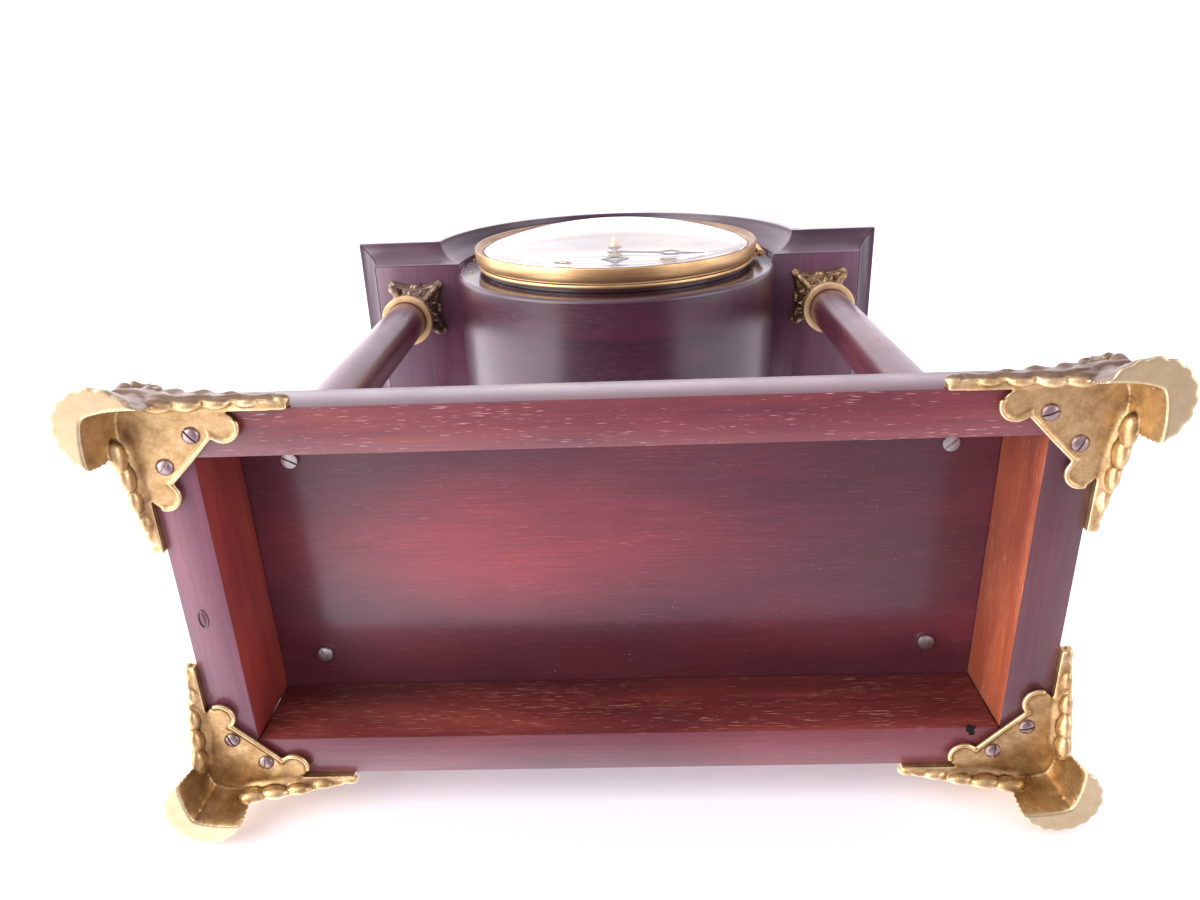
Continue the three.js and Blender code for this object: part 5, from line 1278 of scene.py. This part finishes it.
# Strokes: x from the letter's middle and share of its half height at one end and at the other, and width.
STROKES = {
    "I": ((0, -1, 0, 1, 1.15),),
    "V": ((-1.8, 1, 0.2, -1, 1.2), (2.0, 1, 0.2, -1, 0.4)),
    "X": ((-1.9, 1, 1.9, -1, 1.2), (1.9, 1, -1.9, -1, 0.4)),
}
TRACK_LINES = ((62.9, 63.2), (65.6, 65.9))
PRINT_RISE = 0.03


def upright(shape, front, turn=0.0):
    """A flat shape in X and Y stood up to face the front, with its front at y = front."""
    c, s = cos(turn), sin(turn)
    return moved(shape, lambda x, y, z: (x * c + y * s, front + z, HEAD_LEVEL - x * s + y * c))


def numeral_outlines(text, height):
    """Roman figures from thick and thin strokes with thin serifs."""
    half = height / 2
    x = -sum(LETTER_WIDTHS[letter] for letter in text) / 2
    outlines = []
    for letter in text:
        wide = LETTER_WIDTHS[letter]
        middle = x + wide / 2
        for x0, y0, x1, y1, width in STROKES[letter]:
            a, b, w = middle + x0, middle + x1, width / 2
            outlines.append([(a - w, half * y0), (a + w, half * y0), (b + w, half * y1), (b - w, half * y1)])
        left, right = x + 0.15, x + wide - 0.15
        for y in (half,) if letter == "V" else (-half, half):
            outlines.append([(left, y - 0.2), (right, y - 0.2), (right, y + 0.2), (left, y + 0.2)])
        x += wide
    return outlines


def dial_outlines():
    """The numerals, the minute marks and the two lines of the minute track."""
    outlines = []
    for hour, text in enumerate(NUMERALS):
        for outline in numeral_outlines(text, NUMERAL_HEIGHT):
            outlines.append(clockwise([(x, y + NUMERAL_RADIUS) for x, y in outline], tau * hour / 12))
    low, high = TRACK_LINES[0][1], TRACK_LINES[1][0]
    for minute in range(60):
        half = 0.45 if minute % 5 == 0 else 0.16
        tick = [(-half, low), (half, low), (half, high), (-half, high)]
        outlines.append(clockwise(tick, tau * minute / 60))
    count = 120
    for near, far in ((circle(inner, count), circle(outer, count)) for inner, outer in TRACK_LINES):
        outlines += [[near[i - 1], far[i - 1], far[i], near[i]] for i in range(count)]
    return outlines


def flat_print(outlines, front):
    """Thin ink on the dial: every outline is a face of its own, a little in front of the enamel."""
    points, faces = [], []
    for outline in outlines:
        faces.append([len(points) + i for i in range(len(outline))])
        points += [(x, front, HEAD_LEVEL + z) for x, z in outline]
    return points, faces


def make_dial():
    holes = [circle(4.4, 40, spot) for spot in WINDING_SPOTS] + [circle(4, 40)]
    plate = upright(cutout([circle(69.5, 128)] + holes, 1.0, 0.15), DIAL_FRONT)
    foot_spots = arc((0, HEAD_LEVEL), (DIAL_FOOT_REACH, DIAL_FOOT_REACH), 90, 330, 2)
    feet = [faced(DIAL_FOOT, 16, spot) for spot in foot_spots]
    stand_in("dial_plate", "dial", join(plate, *feet), ENAMEL, "dial_white")
    rims = [faced(WINDING_RIM, 40, (x, HEAD_LEVEL + z)) for x, z in WINDING_SPOTS]
    piece("winding_hole_rims", mesh_from("winding_rims", join(*rims)), BEZEL_BRASS)
    figures = mesh_from("dial_print", flat_print(dial_outlines(), DIAL_FRONT - PRINT_RISE))
    piece("dial_figures", figures, INK)


# A hand's name, body, length, height of its ring, point at the ring's side, angle, front, bore and hub.
HANDS = (
    ("hour_hand", "hour_pipe", 48, 30, 0.9, 105, -65.4, 2.8, 4.4),
    ("minute_hand", "minute_arbor", 60, 34, 1.3, 180, -67.6, 2.0, 3.6),
)
HAND_THICKNESS = 0.8
HAND_RING, HAND_HOLE = 5.5, 4.15
HAND_NUT = (
    (0.01, -72.1), (1.5, -72.0), (2.2, -71.5), (2.4, -70.8), (2.4, -70.0), (3.0, -69.6), (3.2, -69.0),
    (3.2, -67.9), (1.9, -67.9), (1.9, -71.0), (0.01, -71.0),
)


# Half of the hand below and above its ring: half widths, and heights from the ring's centre.
BELOW_RING = ((0.7, -8.2), (1.5, -7.3), (0.9, -6.4), (1.7, -5.4))
ABOVE_RING = ((1.7, 5.5), (0.9, 6.6), (2.1, 8.2), (1.6, 9.8), (0.75, 10.6))


def hand_outline(length, ring_at, reach):
    """The right half, from the hub up to the tip, mirrored to the left."""
    right = [(1.25, 0), (0.95, 8)] + [(x, ring_at + y) for x, y in BELOW_RING]
    for i in range(13):
        a = radians(-66 + 132 * i / 12)
        r = HAND_RING + reach * exp(-(a / 0.16) ** 2)
        right.append((r * cos(a), ring_at + r * sin(a)))
    right += [(x, ring_at + y) for x, y in ABOVE_RING] + [(0.55, length - 3), (0.1, length)]
    return right + [(-x, y) for x, y in reversed(right)]


def make_hands():
    for name, body, length, ring_at, spike, angle, front, bore, hub in HANDS:
        outlines = [hand_outline(length, ring_at, spike)]
        outlines += [circle(HAND_HOLE, 36, (0, ring_at)), circle(bore, 24)]
        top = HAND_THICKNESS
        disc = [(bore, 0.0), (hub - 0.2, 0.0), (hub, 0.2), (hub, top - 0.2), (hub - 0.2, top), (bore, top)]
        hand = upright(join(cutout(outlines, top, 0.12), turned(disc, 32)), front, radians(angle))
        stand_in(name + "_blade", name, hand, BLUED, "blued_steel", body)
    stand_in("hand_cap", "hand_nut", faced(HAND_NUT, 32), BEZEL_BRASS, "brass", "minute_arbor")


# ---- Movement ----

# These nodes keep the shape of their solids and only get a finish.
FINISHED_AS_THEY_ARE = {
    PLATE_BRASS: (
        "front_plate", "back_plate", "going_barrel", "strike_barrel", "centre_wheel", "hour_wheel",
        "third_wheel", "escape_wheel", "pendulum_cock",
    ),
    STEEL: ("anchor", "pendulum_rod", "strike_hammer"),
    IRON: ("gong_block",),
}
BOB_Y, BOB_LEVEL = 12, HEAD_LEVEL - 45
# Half of the bob's profile: its radius, and how far it lies behind or before its middle.
BOB = ((0.01, 4.5), (5, 4.3), (9, 3.8), (13, 2.7), (15.4, 1.4), (16, 0.7))
GONG_Y, GONG_TURNS, GONG_STEPS = 34, 4, 48
GONG_INNER, GONG_PITCH, GONG_WIRE = 16, 7, 1.6
GONG_END = (7.7, GONG_Y, HEAD_LEVEL - 44)


def gong_path():
    """A flat spiral with a short bend at its inner end, and a straight end from below the centre to the block."""
    steps = GONG_TURNS * GONG_STEPS
    route = []
    for i in range(steps + 1):
        a = -pi / 2 + tau * (i - steps) / GONG_STEPS
        r = GONG_INNER + GONG_PITCH * i / GONG_STEPS
        route.append((r * cos(a), GONG_Y, HEAD_LEVEL + r * sin(a)))
    x, y, z = route[0]
    return [(x - 3.2, y, z)] + route + [GONG_END]


def make_movement():
    for material, names in FINISHED_AS_THEY_ARE.items():
        for name in names:
            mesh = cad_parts[name].data
            mesh.materials.clear()
            mesh.materials.append(material)
    profile = [(r, BOB_Y - half) for r, half in BOB] + [(r, BOB_Y + half) for r, half in reversed(BOB)]
    bob = faced(profile, 64, (0, BOB_LEVEL))
    stand_in("pendulum_lens", "pendulum_bob", bob, BEZEL_BRASS, "brass", "pendulum", sharp=50)
    stand_in("gong_coil", "gong", tube(gong_path(), GONG_WIRE), STEEL, "steel", sharp=50)


# ---- Camera, light and floor. From here on, places are in metres ----

BACKDROP_Y = 0.0832
STAGE_REACH = 2.5


def make_camera():
    """The clock lies on its back, and the camera looks up at its underside."""
    camera = linked("camera", bpy.data.cameras.new("camera"))
    camera.data.sensor_width = 36
    camera.data.lens = 26.722
    camera.data.clip_start = 0.005
    camera.rotation_euler = (radians(157.0558), radians(-0.9875), radians(2.0633))
    camera.location = (0.003307, -0.153033, -0.222470)
    bpy.context.scene.camera = camera


def stage_material():
    """White paper that can't be seen from behind."""
    material, tree, shader = start("stage_white")
    tone = noise(tree, node(tree, "TexCoord").outputs["Object"], 2, 2, 0.55)
    colour = ramp(tree, tone, (0.3, (0.9, 0.895, 0.895)), (0.7, (0.92, 0.915, 0.915)))
    finish_shader(tree, shader, Base_Color=colour, Roughness=0.9)
    back = node(tree, "NewGeometry").outputs["Backfacing"]
    clear = node(tree, "BsdfTransparent").outputs[0]
    mix = node(tree, "MixShader", i0=back, i1=shader.outputs[0], i2=clear)
    tree.links.new(mix.outputs[0], tree.nodes["Material Output"].inputs["Surface"])
    return material


def make_stage():
    """The floor, and the sheet that the clock lies on. They only show to the camera."""
    material = stage_material()
    r = STAGE_REACH
    planes = {
        "floor": [(-r, -r, 0), (r, -r, 0), (r, r, 0), (-r, r, 0)],
        "backdrop": [(-r, BACKDROP_Y, -r), (r, BACKDROP_Y, -r), (r, BACKDROP_Y, r), (-r, BACKDROP_Y, r)],
    }
    for name, corners in planes.items():
        mesh = bpy.data.meshes.new(name)
        mesh.from_pydata(corners, [], [(0, 1, 2, 3)])
        mesh.materials.append(material)
        made = linked(name, mesh)
        made.visible_shadow = made.visible_diffuse = made.visible_glossy = made.visible_transmission = False


def make_sky():
    """A bright room, dimmer below the clock, to its right, before its front and above it."""
    world = bpy.data.worlds.new("studio")
    bpy.context.scene.world = world
    world.use_nodes = True
    tree = world.node_tree
    tree.nodes.clear()
    ahead = node(tree, "TexCoord").outputs["Generated"]
    down = towards(tree, ahead, (0.0, 0.0, -1.0))
    sky = ramp(tree, down, (0.70, (0.97, 0.92, 1.0)), (0.9, (0.39, 0.34, 0.4)))
    across = maths(tree, "MULTIPLY_ADD", towards(tree, ahead, (1.0, 0.0, -0.25)), 0.5, 0.5)
    shades = (
        ramp(tree, across, (0.42, 1.0), (0.72, (0.45, 0.43, 0.45))),
        ramp(tree, towards(tree, ahead, (0.0, -1.0, 0.0)), (0.3, 1.0), (0.7, 0.55)),
        ramp(tree, towards(tree, ahead, (0.0, 0.0, 1.0)), (0.6, 1.0), (0.85, 0.75)),
    )
    for shade in shades:
        sky = blend(tree, 1.0, sky, shade, "MULTIPLY")
    shine = node(tree, "Background", Color=sky, Strength=3.1)
    tree.links.new(shine.outputs[0], tree.nodes.new("ShaderNodeOutputWorld").inputs["Surface"])


def make_lamps():
    lamps = (
        ("key", (-1.1, -0.5, -0.55), (1.2, 1.2), 14, (1.0, 0.985, 0.97)),
        ("fill", (1.2, -0.3, -0.45), (0.9, 0.9), 5, (0.97, 0.98, 1.0)),
        ("top", (-0.3, -1.3, 0.7), (1.4, 1.0), 8, (1.0, 1.0, 1.0)),
    )
    target = Vector((0, 0, 0.12))
    for name, spot, (wide, high), power, colour in lamps:
        lamp = bpy.data.lights.new(name, "AREA")
        lamp.shape, lamp.size, lamp.size_y, lamp.energy, lamp.color = "RECTANGLE", wide, high, power, colour
        made = linked(name, lamp)
        made.location = spot
        made.rotation_euler = (target - Vector(spot)).to_track_quat("-Z", "Y").to_euler()
        made.visible_camera = False
        made.visible_glossy = name != "top"


make_base()
make_marks()
make_feet()
make_columns()
make_head()
make_bezel()
make_back_door()
make_dial()
make_hands()
make_movement()
make_camera()
make_stage()
make_sky()
make_lamps()
bpy.context.scene.view_settings.view_transform = "Standard"
